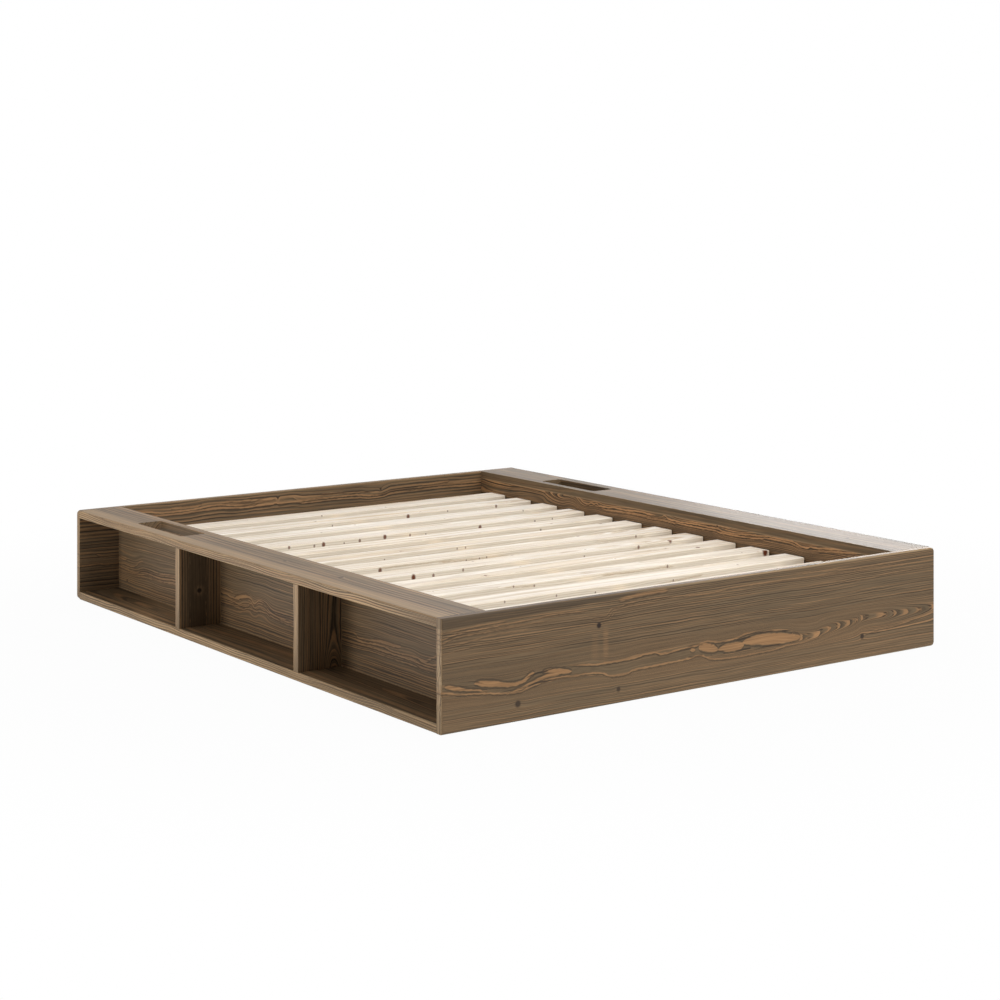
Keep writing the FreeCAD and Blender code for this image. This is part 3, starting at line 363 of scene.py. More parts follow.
        axes=UPRIGHT, show="low", pith=34, pitch=4.6, above=0.7, below=0.7, seed=12,
        line=((24, 800), (256, 794)), phase=((24, 0.4), (120, 1.8), (256, 4.4)),
    ),
    "left_slat_ledger": dict(
        axes=SHELF, show="high", pith=50, pitch=4.6, above=0.7, below=0.7, seed=13,
        line=((-1008, -694), (1008, -690)), phase=((-1008, 0.2), (1008, 2.2)),
        knots=((-410, -688, 5), (620, -694, 6)),
    ),
    "right_slat_ledger": dict(
        axes=SHELF, show="high", pith=50, pitch=4.6, above=0.7, below=0.7, seed=14,
        line=((-1008, 690), (1008, 694)), phase=((-1008, 2.0), (1008, 0.4)),
        knots=((130, 692, 6), (-790, 688, 5)),
    ),
    "centre_beam": dict(
        axes=SHELF, show="high", pith=60, pitch=4.4, seed=15, line=((-1008, -8), (1008, 6)),
        phase=((-1008, 0.2), (1008, 3.0)), knots=((-520, 6, 7), (88, -9, 6), (700, 3, 8)),
    ),
    "centre_leg_foot": dict(
        axes=UPRIGHT, show="low", pith=70, pitch=4.4, seed=16, line=((0, 6), (122, 3)),
        phase=((0, 0.2), (122, 1.1)), knots=((74, -8, 5),),
    ),
    "centre_leg_head": dict(
        axes=UPRIGHT, show="low", pith=70, pitch=4.4, seed=17, line=((0, -5), (122, -2)),
        phase=((0, 1.0), (122, 0.3)), knots=((40, 9, 4),),
    ),
}

# Knots of each slat in millimetres: along it, across from its middle, radius, depth
SLAT_KNOTS = {
    1: ((-300, 12, 3, 0), (215, -20, 4, 0), (-50, -42, 3, 2)),
    2: ((-451, 40, 3, 0), (-135, 8, 4, 0), (-101, -42, 3, 11), (193, -42, 7, 8), (258, -19, 3, 0),
        (352, -42, 3, 4), (553, -42, 5, 6)),
    3: ((-230, -37, 4, 0), (-67, 25, 4, 0), (241, -36, 3, 0), (414, 28, 3, 0), (557, -42, 3, 2)),
    4: ((-438, -42, 5, 4), (-349, -42, 4, 9), (-316, -42, 7, 8), (-242, -42, 3, 11), (-185, -42, 5, 9),
        (-92, -42, 7, 6), (2, -42, 4, 10), (62, -42, 3, 13), (273, -42, 7, 12), (494, -42, 4, 13),
        (566, -42, 3, 11)),
    5: ((-350, 20, 3, 0), (405, -42, 4, 13), (463, -23, 4, 0)),
    6: ((-287, -42, 3, 14), (-210, -12, 4, 0), (-25, -42, 3, 7), (6, -42, 3, 7), (593, 40, 7, 0)),
    7: ((-399, -42, 7, 12), (-345, 43, 3, 0), (-96, -42, 3, 14), (-48, -42, 3, 13), (-22, -42, 3, 12),
        (385, 42, 8, 0), (553, -42, 4, 6)),
    8: ((-383, -42, 8, 10), (-315, -42, 5, 12), (-212, -42, 4, 7), (-162, 42, 4, 0), (-133, 22, 4, 0),
        (21, 43, 8, 0), (230, -42, 3, 14), (258, -11, 3, 0), (440, -42, 5, 7), (567, -38, 8, 0)),
    9: ((-230, -28, 6, 0), (-68, 27, 3, 0), (236, -32, 3, 0), (466, 11, 4, 0), (557, -32, 8, 0)),
    10: ((-480, 16, 3, 0), (-252, -42, 3, 3), (-181, -42, 3, 9), (301, -42, 4, 6), (606, -25, 4, 0),
        (684, -42, 11, 4)),
    11: ((-391, -42, 3, 5), (-218, -42, 3, 8), (-84, -42, 3, 15), (195, -42, 3, 12), (464, -12, 4, 0)),
    12: ((-520, -15, 5, 0), (60, 25, 4, 0), (430, 8, 4, 0)),
    13: ((-260, 20, 4, 0), (140, -18, 5, 0), (580, 22, 4, 0)),
}

# Tan streaks of slats as in the grain table, across from the slat's middle.
# Those past 42.5 mm are on the front.
SLAT_STREAKS = {
    7: (
        (1.1, 0.8, ((-430, -43), (-399, -44), (-330, -45), (-247, -47), (-162, -47), (-120, -48))),
        (1.4, 0.9, ((-215, -47), (-190, -48), (-68, -53), (57, -56), (90, -57))),
        (1.0, 0.6, ((380, -48), (409, -48), (489, -49), (570, -49), (600, -49))),
    ),
    8: (
        (1.1, 0.7, ((410, -49), (446, -50), (541, -50), (580, -50))),
    ),
    10: (
        (1.3, 0.85, ((40, -46), (73, -46), (183, -48), (303, -48), (340, -48))),
        (1.0, 0.7, ((-290, -43), (-257, -44), (-196, -48), (-170, -49))),
    ),
    11: (
        (1.3, 0.8, ((120, -58), (154, -57), (220, -53), (287, -49), (320, -48))),
    ),
}


def tone(red, green, blue):
    """A colour as written for the screen, 0 to 255, turned to the linear numbers that shaders take."""
    share = np.array((red, green, blue), float) / 255
    linear = np.where(share <= 0.04045, share / 12.92, ((share + 0.055) / 1.055) ** 2.4)
    return tuple(float(value) for value in linear)


class NodeSheet:
    """Lays a shader tree out in code. Each call adds one node and gives back its output."""

    def __init__(self, tree):
        self.tree = tree

    def feed(self, socket, value):
        """Puts a plain value on a socket, or links another node's output to it."""
        if isinstance(value, bpy.types.NodeSocket):
            self.tree.links.new(value, socket)
        elif value is not None:
            if socket.type == "RGBA" and len(value) == 3:
                value = (*value, 1.0)
            socket.default_value = value

    def node(self, kind, settings=None, inputs=None):
        """The node itself, with its settings and inputs."""
        made = self.tree.nodes.new(kind)
        for name, value in (settings or {}).items():
            setattr(made, name, value)
        for name, value in (inputs or {}).items():
            self.feed(made.inputs[name], value)
        return made

    def close(self, shader, kind="Material"):
        """Links the last shader to the output of a material or a world."""
        self.node(f"ShaderNodeOutput{kind}", None, {"Surface": shader.outputs[0]})

    def reckon(self, operation, first, second=None, third=None):
        inputs = {0: first, 1: second, 2: third}
        return self.node("ShaderNodeMath", {"operation": operation}, inputs).outputs[0]

    plus = partialmethod(reckon, "ADD")
    minus = partialmethod(reckon, "SUBTRACT")
    times = partialmethod(reckon, "MULTIPLY")
    times_plus = partialmethod(reckon, "MULTIPLY_ADD")
    over = partialmethod(reckon, "DIVIDE")
    larger = partialmethod(reckon, "MAXIMUM")
    smaller = partialmethod(reckon, "MINIMUM")
    absolute = partialmethod(reckon, "ABSOLUTE")
    fraction = partialmethod(reckon, "FRACT")
    whole = partialmethod(reckon, "FLOOR")
    root = partialmethod(reckon, "SQRT")
    sine = partialmethod(reckon, "SINE")

    def vector(self, operation, first, second, result="Vector"):
        inputs = {0: first, 1: second}
        return self.node("ShaderNodeVectorMath", {"operation": operation}, inputs).outputs[result]

    scaled = partialmethod(vector, "MULTIPLY")
    added = partialmethod(vector, "ADD")
    distance = partialmethod(vector, "DISTANCE", result="Value")

    def joined(self, x, y, z):
        return self.node("ShaderNodeCombineXYZ", None, {0: x, 1: y, 2: z}).outputs[0]

    def split(self, vector):
        return self.node("ShaderNodeSeparateXYZ", None, {0: vector}).outputs

    def noise(self, vector, detail=1.0):
        """Smooth noise about a half, already at the vector's own scale."""
        inputs = {"Vector": vector, "Scale": 1.0, "Detail": detail, "Roughness": 0.5}
        return self.node("ShaderNodeTexNoise", {"noise_dimensions": "3D"}, inputs).outputs[0]

    def noise_along(self, value):
        inputs = {"W": value, "Scale": 1.0, "Detail": 0.0}
        return self.node("ShaderNodeTexNoise", {"noise_dimensions": "1D"}, inputs).outputs[0]

    def dice(self, value):
        """One random number for each whole number."""
        made = self.node("ShaderNodeTexWhiteNoise", {"noise_dimensions": "1D"}, {"W": value})
        return made.outputs["Value"]

    def run(self, kind, value, start, end, first=0.0, last=1.0):
        """From first to last as the value goes from start to end, as a smooth step or straight."""
        inputs = {"Value": value, "From Min": start, "From Max": end, "To Min": first, "To Max": last}
        return self.node("ShaderNodeMapRange", {"interpolation_type": kind}, inputs).outputs[0]

    fade = partialmethod(run, "SMOOTHSTEP")
    span = partialmethod(run, "LINEAR")

    def ramp(self, value, stops):
        """Grey levels at places between 0 and 1."""
        made = self.node("ShaderNodeValToRGB", None, {0: value})
        elements = made.color_ramp.elements
        while len(elements) < len(stops):
            elements.new(1.0)
        for element, (place, level) in zip(elements, stops):
            element.position = place
            element.color = (level, level, level, 1.0)
        return made.outputs[0]

    def curve(self, value, points, scale=MM):
        """A smooth curve through (place, height) points, with the places in millimetres."""
        places, heights = np.array(points, float).T * ((MM,), (scale,))
        low, high = heights.min() - MM, heights.max() + MM
        along = self.span(value, float(places.min()), float(places.max()))
        made = self.node("ShaderNodeFloatCurve", None, {1: along})
        dots = made.mapping.curves[0].points
        while len(dots) < len(points):
            dots.new(0.5, 0.5)
        shares = ((places - places.min()) / np.ptp(places), (heights - low) / (high - low))
        for dot, share in zip(dots, np.stack(shares, axis=1)):
            dot.location = share
            dot.handle_type = "AUTO_CLAMPED"
        made.mapping.update()
        return self.span(made.outputs[0], 0.0, 1.0, float(low), float(high))

    def mix(self, factor, first, second, blend="MIX"):
        settings = {"data_type": "RGBA", "blend_type": blend}
        return self.node("ShaderNodeMix", settings, {0: factor, 6: first, 7: second}).outputs[2]

    def seen(self):
        """One for rays from a camera, straight or by way of glass and gloss, and none for the others."""
        rays = self.node("ShaderNodeLightPath").outputs
        bounced = self.larger(rays["Is Glossy Ray"], rays["Is Transmission Ray"])
        return self.larger(rays["Is Camera Ray"], bounced)


def blank_sheet(owner):
    """A sheet for the emptied shader tree of a new material or world."""
    owner.use_nodes = True
    owner.node_tree.nodes.clear()
    return NodeSheet(owner.node_tree)


def pine_group():
    """The growth rings of a softwood board, as a node group.

    A ring's number is the phase in the flame plus the extra distance to the heart, beyond the flame's own
    half height, over the ring pitch. Its fraction draws pale earlywood, a band of latewood and the dark
    line where the next ring starts. Single pale rings, a dark stave, knots, pale strips and paler edges
    come on top. The paler edges are wear, and on the foot board a painted highlight; the foot board's low
    pale strip is painted light from the floor.
    """
    name = "softwood_rings"
    if name in bpy.data.node_groups:
        return bpy.data.node_groups[name]
    tree = bpy.data.node_groups.new(name, "ShaderNodeTree")
    numbers = ("Flame line", "Half height", "Phase", "Pith depth", "Pitch", "Above", "Below", "Seed", "Bulge",
               "Knot", "Edge", "Wear", "Streak", "Streak line", "Band", "Hatch", "Dash", "Calm", "Middle",
               "Spread", "Fine", "Top", "Stripe", "Bold")
    colours = ("Ground", "Warm", "Flame", "Line", "Knot colour", "Edge colour")
    for side, kind, labels in (
            ("INPUT", "Vector", ("Place",)), ("INPUT", "Float", numbers), ("INPUT", "Color", colours),
            ("OUTPUT", "Color", ("Colour",)), ("OUTPUT", "Float", ("Latewood", "Relief"))):
        for label in labels:
            tree.interface.new_socket(name=label, in_out=side, socket_type=f"NodeSocket{kind}")
    sheet = NodeSheet(tree)
    given = sheet.node("NodeGroupInput").outputs
    seed, edge, pitch = given["Seed"], given["Edge"], given["Pitch"]
    shift = sheet.joined(seed, sheet.times(seed, 2.7), seed)
    along, across, depth = sheet.split(given["Place"])

    def grain_noise(lengthwise, crosswise, detail=1.0, place=given["Place"]):
        stretched = sheet.scaled(place, (lengthwise, crosswise, crosswise))
        return sheet.noise(sheet.added(stretched, shift), detail)

    def swing(lengthwise, crosswise, size):
        """Noise from minus the size to plus the size."""
        return sheet.span(grain_noise(lengthwise, crosswise), 0, 1, -size, size)

    # Place on the board against the flame
    from_middle = sheet.minus(across, given["Middle"])
    hold = sheet.fade(sheet.absolute(from_middle), 0.015, 0.05, 1.0, 0.1)
    bend = sheet.times(sheet.minus(given["Flame line"], given["Middle"]), hold)
    off_line = sheet.plus(sheet.minus(from_middle, bend), swing(12.0, 40.0, 0.0016))
    from_line = sheet.absolute(off_line)
    half_height = sheet.times(given["Half height"], hold)
    beyond = sheet.larger(sheet.minus(from_line, half_height), 0.0)

    # Growth rings passed, and which one this is
    sway = sheet.times(swing(3.0, 10.0, 0.004), sheet.fade(beyond, 0.0, 0.03))
    swayed = sheet.plus(beyond, sway)
    to_pith = sheet.minus(given["Pith depth"], depth)
    squared = sheet.times_plus(swayed, swayed, sheet.times(to_pith, to_pith))
    extra = sheet.minus(sheet.root(squared), given["Pith depth"])
    rings = sheet.over(sheet.plus(extra, swing(40.0, 130.0, 0.0007)), pitch)
    settled = sheet.minus(sheet.smaller(given["Phase"], 1.0), 0.6)
    settled = sheet.times_plus(settled, hold, 0.6)
    passed = sheet.larger(sheet.minus(given["Phase"], 1.0), 0.0)
    parallel = sheet.fade(beyond, 0.004, 0.05)
    passed = sheet.times_plus(sheet.minus(given["Top"], passed), parallel, passed)
    count = sheet.plus(sheet.plus(rings, sheet.plus(settled, passed)), given["Bulge"])
    uneven = sheet.span(sheet.noise_along(sheet.times_plus(count, 0.6, seed)), 0, 1, -0.25, 0.25)
    count = sheet.plus(count, sheet.times(uneven, sheet.fade(beyond, 0.002, 0.012)))
    edge_count = sheet.over(sheet.plus(depth, swing(4.5, 12.0, 0.011)), EDGE_STRIPE)
    count = sheet.times_plus(sheet.minus(edge_count, count), edge, count)
    share, ring = sheet.fraction(count), sheet.whole(count)
    luck = sheet.dice(sheet.plus(ring, seed))
    other_luck = sheet.dice(sheet.plus(ring, sheet.plus(seed, SECOND_LUCK)))

    # How strongly the ring's latewood and its dark line show
    upper = sheet.fade(off_line, 0.001, 0.016, 1.0, given["Above"])
    lower = sheet.fade(off_line, -0.03, -0.1, 1.0, given["Below"])
    patches = sheet.span(grain_noise(3.5, 22.0), 0.3, 0.7, 0.65, 1.15)
    quiet = sheet.times(given["Calm"], sheet.minus(1.0, edge))
    quiet = sheet.larger(quiet, sheet.times(given["Band"], 0.75))
    calm = sheet.minus(1.0, quiet)
    strength = sheet.times(sheet.times(upper, lower), sheet.times(patches, calm))
    strength = sheet.larger(strength, edge)
    near = sheet.fade(beyond, 0.003, given["Spread"], 1.0, 0.0)
    striped = sheet.times_plus(sheet.minus(given["Stripe"], 1.0), edge, 1.0)
    late_gain = sheet.larger(sheet.span(luck, 0, 1, 0.1, 0.95), near)
    late = sheet.times(sheet.ramp(share, LATEWOOD), strength)
    late = sheet.times(late, sheet.times(late_gain, striped))
    late = sheet.larger(late, given["Streak"])
    dark_strength = sheet.times(sheet.span(strength, 0.0, 1.0, 0.4, 1.0), calm)
    dark_gain = sheet.larger(sheet.span(other_luck, 0, 1, 0.2, 0.78), sheet.times(near, given["Bold"]))
    dark_gain = sheet.larger(dark_gain, sheet.times(edge, 0.85))
    dark = sheet.times(sheet.ramp(share, RING_START), dark_strength)
    dark = sheet.times(dark, sheet.times(dark_gain, striped))
    bare = sheet.minus(1.0, given["Streak"])
    dark = sheet.times(sheet.larger(dark, given["Streak line"]), bare)

    # Fibres and thin lines that follow the rings
    ring_height = sheet.times_plus(count, pitch, sheet.smaller(from_line, half_height))
    fine = given["Fine"]
    ring_place = sheet.joined(along, sheet.times(ring_height, fine), sheet.times(depth, fine))
    fibres = sheet.span(grain_noise(4.0, 190.0, 1.0, ring_place), 0.25, 0.75, -0.6, 0.6)
    hairs = sheet.span(grain_noise(14.0, 420.0, 1.0, ring_place), 0.25, 0.75, -0.4, 0.4)

    def fine_lines(period, width, offset):
        """Thin broken lines a period apart, bent a little by slow noise."""
        spot = sheet.added(ring_place, offset)
        drift = sheet.times(grain_noise(1.6, 18.0, 1.0, spot), 2.2)
        turns = sheet.plus(sheet.over(sheet.split(ring_place)[1], period), drift)
        aside = sheet.absolute(sheet.minus(sheet.fraction(turns), 0.5))
        broken = sheet.fade(grain_noise(2.5, 60.0, 1.0, spot), 0.36, 0.58, 0.15, 1.0)
        return sheet.times(sheet.fade(aside, 0.3 * width, width, 1.0, 0.0), broken)

    outside = sheet.fade(beyond, 0.0, 0.002, 0.35, 1.0)
    dash = sheet.times(sheet.times(given["Dash"], outside), sheet.times_plus(quiet, -0.6, 1.0))
    dash = sheet.times(dash, striped)
    dark_dash = sheet.times(fine_lines(*DARK_LINES), dash)
    pale_dash = sheet.times(fine_lines(*PALE_LINES), sheet.times(sheet.times(dash, 0.7), bare))

    # Colour and relief
    cloud = sheet.fade(grain_noise(1.6, 12.0, 2.0), 0.32, 0.68)
    wood = sheet.mix(cloud, given["Ground"], given["Warm"])
    wood = sheet.mix(edge, wood, given["Edge colour"])
    wood = sheet.mix(sheet.larger(late, pale_dash), wood, given["Flame"])
    wood = sheet.mix(sheet.larger(dark, dark_dash), wood, given["Line"])
    wood = sheet.mix(sheet.times(given["Band"], 0.5), wood, given["Line"])
    grainy = sheet.times_plus(sheet.plus(fibres, hairs), given["Hatch"], 1.0)
    wood = sheet.mix(1.0, wood, sheet.joined(grainy, grainy, grainy), "MULTIPLY")
    wood = sheet.mix(given["Knot"], wood, given["Knot colour"])
    # Paler edges take the edge colour: wear, and on the foot board a painted highlight and painted light from
    # the floor
    wood = sheet.mix(given["Wear"], wood, given["Edge colour"])
    relief = sheet.times_plus(grain_noise(14.0, 420.0), 0.4, grain_noise(4.0, 190.0))
    sheet.node("NodeGroupOutput", None, {"Colour": wood, "Latewood": late, "Relief": relief})
    return tree


def knot_nodes(sheet, along, across, depth, knots, taper):
    """How far the rings swell round the knots, and where the knots are. A knot tapers into the board."""
    place = sheet.joined(along, across, sheet.times(depth, taper))
    bulge, core = 0.0, 0.0
    for lengthwise, crosswise, radius, *under in knots:
        gap = sheet.distance(place, (lengthwise * MM, crosswise * MM, sum(under) * taper * MM))
        swell = sheet.fade(gap, 0.0, radius * 2.6 * MM, 0.4, 0.0)
        heart = sheet.fade(gap, radius * 0.4 * MM, radius * MM, min(1.0, 0.45 + 0.055 * radius), 0.0)
        bulge = sheet.plus(swell, bulge)
        core = sheet.larger(heart, core)
    return bulge, core


def streak_nodes(sheet, along, across, streaks):
    """Single pale rings along drawn lines, each with the dark line of the next ring under it.

    A point with a third number gives the ring's half height there, for blobs that a dark line goes round.
    """
    body, shade = 0.0, 0.0
    for half, strength, points in streaks:
        blob = len(points[0]) == 3
        run, core, rim, line_gap, line_reach, line_strength = BLOB if blob else THREAD
        start, end = points[0][0] * MM, points[-1][0] * MM
        run *= end - start
        started = sheet.fade(along, start, start + run)
        inside = sheet.times(started, sheet.fade(along, end - run, end, 1.0, 0.0))
        level = sheet.times(inside, strength)
        gap = sheet.minus(across, sheet.curve(along, [point[:2] for point in points]))
        height = sheet.curve(along, [point[::2] for point in points]) if blob else half * MM
        reach = sheet.times(inside, height)
        rim_reach = sheet.times_plus(reach, rim, 0.0003)
        pale = sheet.fade(sheet.absolute(gap), sheet.times(reach, core), rim_reach, level, 0.0)
        under = sheet.minus(sheet.absolute(gap) if blob else sheet.times(gap, -1.0), reach)
        aside = sheet.absolute(sheet.minus(under, line_gap))
        line_reach += 0.45 * half * MM
        line = sheet.fade(aside, 0.0008, line_reach, sheet.times(level, line_strength), 0.0)
        body = sheet.larger(pale, body)
        shade = sheet.larger(line, shade)
    return body, shade


def smear_nodes(sheet, along, across, smears):
    """Pale marks across the grain, where the fibres dip under the surface by a knot."""
    body = 0.0
    for place, middle, length, width, strength in smears:
        aside = sheet.absolute(sheet.minus(along, place * MM))
        above = sheet.absolute(sheet.minus(across, middle * MM))
        narrow = sheet.fade(aside, 0.2 * width * MM, width * MM, strength, 0.0)
        tall = sheet.fade(above, 0.5 * length * MM, length * MM, 1.0, 0.0)
        body = sheet.larger(sheet.times(narrow, tall), body)
    return body


def worn_edges_and_highlight(sheet, places, box, reach):
    """Where a board's long edges are paler: close to the box both across the board and through it. They are
    rubbed edges, and on the foot board a painted highlight.
    """
    shares = []
    for value, low, high in zip(places, *box):
        near_low = sheet.fade(value, low, low + reach, 1.0, 0.0)
        near_high = sheet.fade(value, high - reach, high)
        shares.append(sheet.larger(near_low, near_high))
    return sheet.times(*shares)


def outer_edge(sheet, normal, parts, low, high, facing):
    """Where a board faces along an axis, such as -X for one outer side only or X for both ends."""
    axis = facing[-1]
    which = "XYZ".index(axis)
    towards = sheet.split(normal)[which]
    thin, thick = EDGE_SKIN
    if facing[0] == "-":
        edge = sheet.fade(towards, -0.6, -0.98)
        skin = sheet.fade(parts[axis], low[which] + thin, low[which] + thick, 1.0, 0.0)
    elif facing[0] == "+":
        edge = sheet.fade(towards, 0.6, 0.98)
        skin = sheet.fade(parts[axis], high[which] - thick, high[which] - thin)
    else:
        edge, skin = sheet.fade(sheet.absolute(towards), 0.35, 0.95), 1.0
    return sheet.times(edge, skin)


def strip_share(sheet, across, start, end, amount):
    """A share that grows across the board from none at the start to the amount at the end."""
    if start < end:
        return sheet.fade(across, start * MM, end * MM, 0.0, amount)
    return sheet.fade(across, end * MM, start * MM, amount, 0.0)


def board_material(name, grain, finish, facing=None):
    """One board's wood: its own flame, phase and knots through the shared rings, with brushed relief."""
    grain = {**GRAIN_DEFAULTS, **grain}
    material = bpy.data.materials.new(f"{finish.label}_{name}")
    sheet = blank_sheet(material)
    low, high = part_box(name)
    spots = sheet.node("ShaderNodeTexCoord").outputs
    parts = dict(zip("XYZ", sheet.split(spots["Object"])))
    along, across, through = (parts[axis] for axis in grain["axes"])
    across_axis, depth_axis = ("XYZ".index(axis) for axis in grain["axes"][1:])
    if grain["show"] == "low":
        depth = sheet.minus(through, low[depth_axis])
    else:
        depth = sheet.minus(high[depth_axis], through)
    place = sheet.joined(along, across, depth)

    # Flame, knots and single rings
    rough_edge = sheet.noise(sheet.scaled(place, (40.0, 90.0, 90.0)))
    phase = sheet.plus(sheet.curve(along, grain["phase"], 1.0), sheet.span(rough_edge, 0, 1, -0.07, 0.07))
    bulge, core = knot_nodes(sheet, along, across, depth, grain["knots"], finish.knot_taper)
    tremble = sheet.noise(sheet.scaled(place, (60.0, 150.0, 150.0)))
    unrolled = sheet.minus(across, depth) if grain["unroll"] else across
    shaken = sheet.plus(unrolled, sheet.span(tremble, 0, 1, -0.0025, 0.0025))
    streak, streak_line = streak_nodes(sheet, along, shaken, grain["streaks"])
    streak = sheet.larger(streak, smear_nodes(sheet, along, across, grain["smears"]))

    # Dark staves and strips, outer edges, paler long edges and pale strips. The paler edges are wear, and on
    # the foot board a painted highlight; the foot board's low pale strip is painted light from the floor.
    band = 0.0
    if "band" in grain:
        band = sheet.fade(sheet.minus(across, sheet.curve(along, grain["band"])), -0.001, 0.002)
    skin = sheet.fade(depth, *SHOW_SKIN, 1.0, 0.0)
    for strip in grain["dim"]:
        band = sheet.larger(band, sheet.times(strip_share(sheet, across, *strip), skin))
    edge = outer_edge(sheet, spots["Normal"], parts, low, high, facing) if facing else 0.0
    box = ((low[across_axis], low[depth_axis]), (high[across_axis], high[depth_axis]))
    wear = worn_edges_and_highlight(sheet, (across, through), box, grain["rub"] * MM)
    wear = sheet.times(wear, finish.wear)
    # On the foot board the paler edges show in its right part only, as a painted highlight
    if "highlight_run" in grain:
        wear = sheet.times(wear, sheet.fade(along, *(spot * MM for spot in grain["highlight_run"])))
    # Pale strips; the foot board's low one is painted light thrown up from the floor
    for strip in grain["pale"]:
        wear = sheet.larger(wear, strip_share(sheet, across, *strip))
    wear = sheet.times(wear, sheet.minus(1.0, edge))

    rings = sheet.node("ShaderNodeGroup", {"node_tree": pine_group()}, {
        "Place": place, "Phase": phase, "Bulge": bulge, "Knot": core, "Edge": edge, "Wear": wear,
        "Band": band, "Streak": streak, "Streak line": streak_line,
        "Flame line": sheet.curve(along, grain["line"]),
        "Half height": sheet.curve(along, grain["wide"]) if "wide" in grain else 0.0,
        "Middle": float(np.mean([height for _, height in grain["line"]])) * MM,
        "Top": max(0.0, max(passed for _, passed in grain["phase"]) - 1.0),
        "Pith depth": grain["pith"] * MM, "Pitch": grain["pitch"] * MM, "Spread": grain["spread"] * MM,
        "Above": grain["above"], "Below": grain["below"], "Seed": grain["seed"] * 3.0,
        "Calm": grain["calm"], "Bold": grain["bold"], "Fine": grain.get("fine", finish.fine),
        "Hatch": finish.hatch, "Dash": finish.dash, "Stripe": finish.stripe,
        "Ground": tuple(finish.ground), "Warm": tuple(finish.warm), "Line": tuple(finish.line),
        "Flame": tone(*grain["flame"]) if "flame" in grain else tuple(finish.flame),
        "Knot colour": tuple(finish.knot),
        "Edge colour": tone(*grain["edge"]) if "edge" in grain else tuple(finish.edge),
    })
    bump = sheet.node("ShaderNodeBump", None, {
        "Strength": finish.relief, "Distance": 0.0006, "Height": rings.outputs["Relief"]})
    sheen = sheet.span(rings.outputs["Latewood"], 0, 1, finish.roughness, finish.roughness - 0.1)
    sheet.close(sheet.node("ShaderNodeBsdfPrincipled", None, {
        "Base Color": rings.outputs["Colour"], "Roughness": sheen, "Specular IOR Level": finish.gloss,
        "Normal": bump.outputs[0]}))
    return material


def plain_material(name, colour_pair, scale, roughness_pair, metallic):
    """A material that wanders between two colours and two roughnesses on noise, with a light relief."""
    material = bpy.data.materials.new(name)
    sheet = blank_sheet(material)
    spots = sheet.node("ShaderNodeTexCoord").outputs["Object"]
    cloud = sheet.noise(sheet.scaled(spots, (scale,) * 3), 3.0)
    grit = sheet.noise(sheet.scaled(spots, (scale * 6,) * 3), 2.0)
    colour = sheet.mix(sheet.fade(cloud, 0.35, 0.65), *colour_pair)
    rough = sheet.span(sheet.plus(cloud, grit), 0.6, 1.4, *roughness_pair)
    bump = sheet.node("ShaderNodeBump", None, {"Strength": 0.15, "Distance": 0.0002, "Height": grit})
    sheet.close(sheet.node("ShaderNodeBsdfPrincipled", None, {
        "Base Color": colour, "Roughness": rough, "Metallic": metallic, "Normal": bump.outputs[0]}))
    return material


def dress(name, material):
    """Puts a material on every slot of a CAD node."""
    for place in NODES[name].material_slots:
        place.material = material


def dress_boards(names, finish, facing=None):
    """Gives each board its own wood from the grain table."""
    for name in names:
        dress(name, board_material(name, GRAIN[name], finish, facing))


def slat_grain(number, middle, draw):
    """A slat's grain about its middle, with a flame, ring pitch and phase of its own draws."""
    start, stop = draw.uniform(-60, 60, 2)
    return dict(
        axes=CROSSWISE, show="high", pith=draw.uniform(30, 80), pitch=draw.uniform(11, 19),
        seed=SLAT_FIRST_SEED + number, unroll=True,
        line=((-SLAT_END, middle + start), (0, middle + 0.5 * (start + stop)), (SLAT_END, middle + stop)),
        phase=((-SLAT_END, draw.uniform(0, 2)), (0, draw.uniform(0, 2)), (SLAT_END, draw.uniform(0, 5))),
        knots=tuple((x, middle + y, SLAT_KNOT_SCALE * r, z) for x, y, r, z in SLAT_KNOTS[number]),
        streaks=tuple((half, strength, tuple((x, middle + y) for x, y in points))
                      for half, strength, points in SLAT_STREAKS.get(number, ())),
    )


def amount(name, description, default, **more):
    return bpy.props.FloatProperty(name=name, description=description, default=default, **more)


def tint(name, description, *screen):
    return bpy.props.FloatVectorProperty(
        name=name, description=description, default=tone(*screen), subtype="COLOR", min=0.0, max=1.0)


def wood(key, *values):
    """One of the settings that every wood finish has, with the finish's own default."""
    if key in WOOD_COLOURS:
        return tint(*WOOD_COLOURS[key], *values)
    return amount(*WOOD_NUMBERS[key], *values)


def name_start(text):
    return bpy.props.StringProperty(name="Label", description="Start of the materials' names", default=text)


class StainedPineFinish(bpy.types.PropertyGroup):
    """Grey-brown stain on brushed pine, with sanded edges and a satin lacquer."""
    label: name_start("stained_pine")
    ground: wood("ground", 105, 88, 66)
    warm: wood("warm", 111, 91, 67)
    flame: wood("flame", 158, 120, 82)
    line: wood("line", 48, 38, 28)
    knot: wood("knot", 36, 24, 17)
    edge: wood("edge", 179, 151, 116)
    hatch: wood("hatch", 0.36)
    dash: wood("dash", 0.9)
    fine: wood("fine", 1.0)
    stripe: wood("stripe", 1.0)
    knot_taper: wood("knot_taper", 0.35)
    wear: wood("wear", 0.5)
    gloss: wood("gloss", 0.22)
    roughness: wood("roughness", 0.52)
    relief: wood("relief", 0.4)


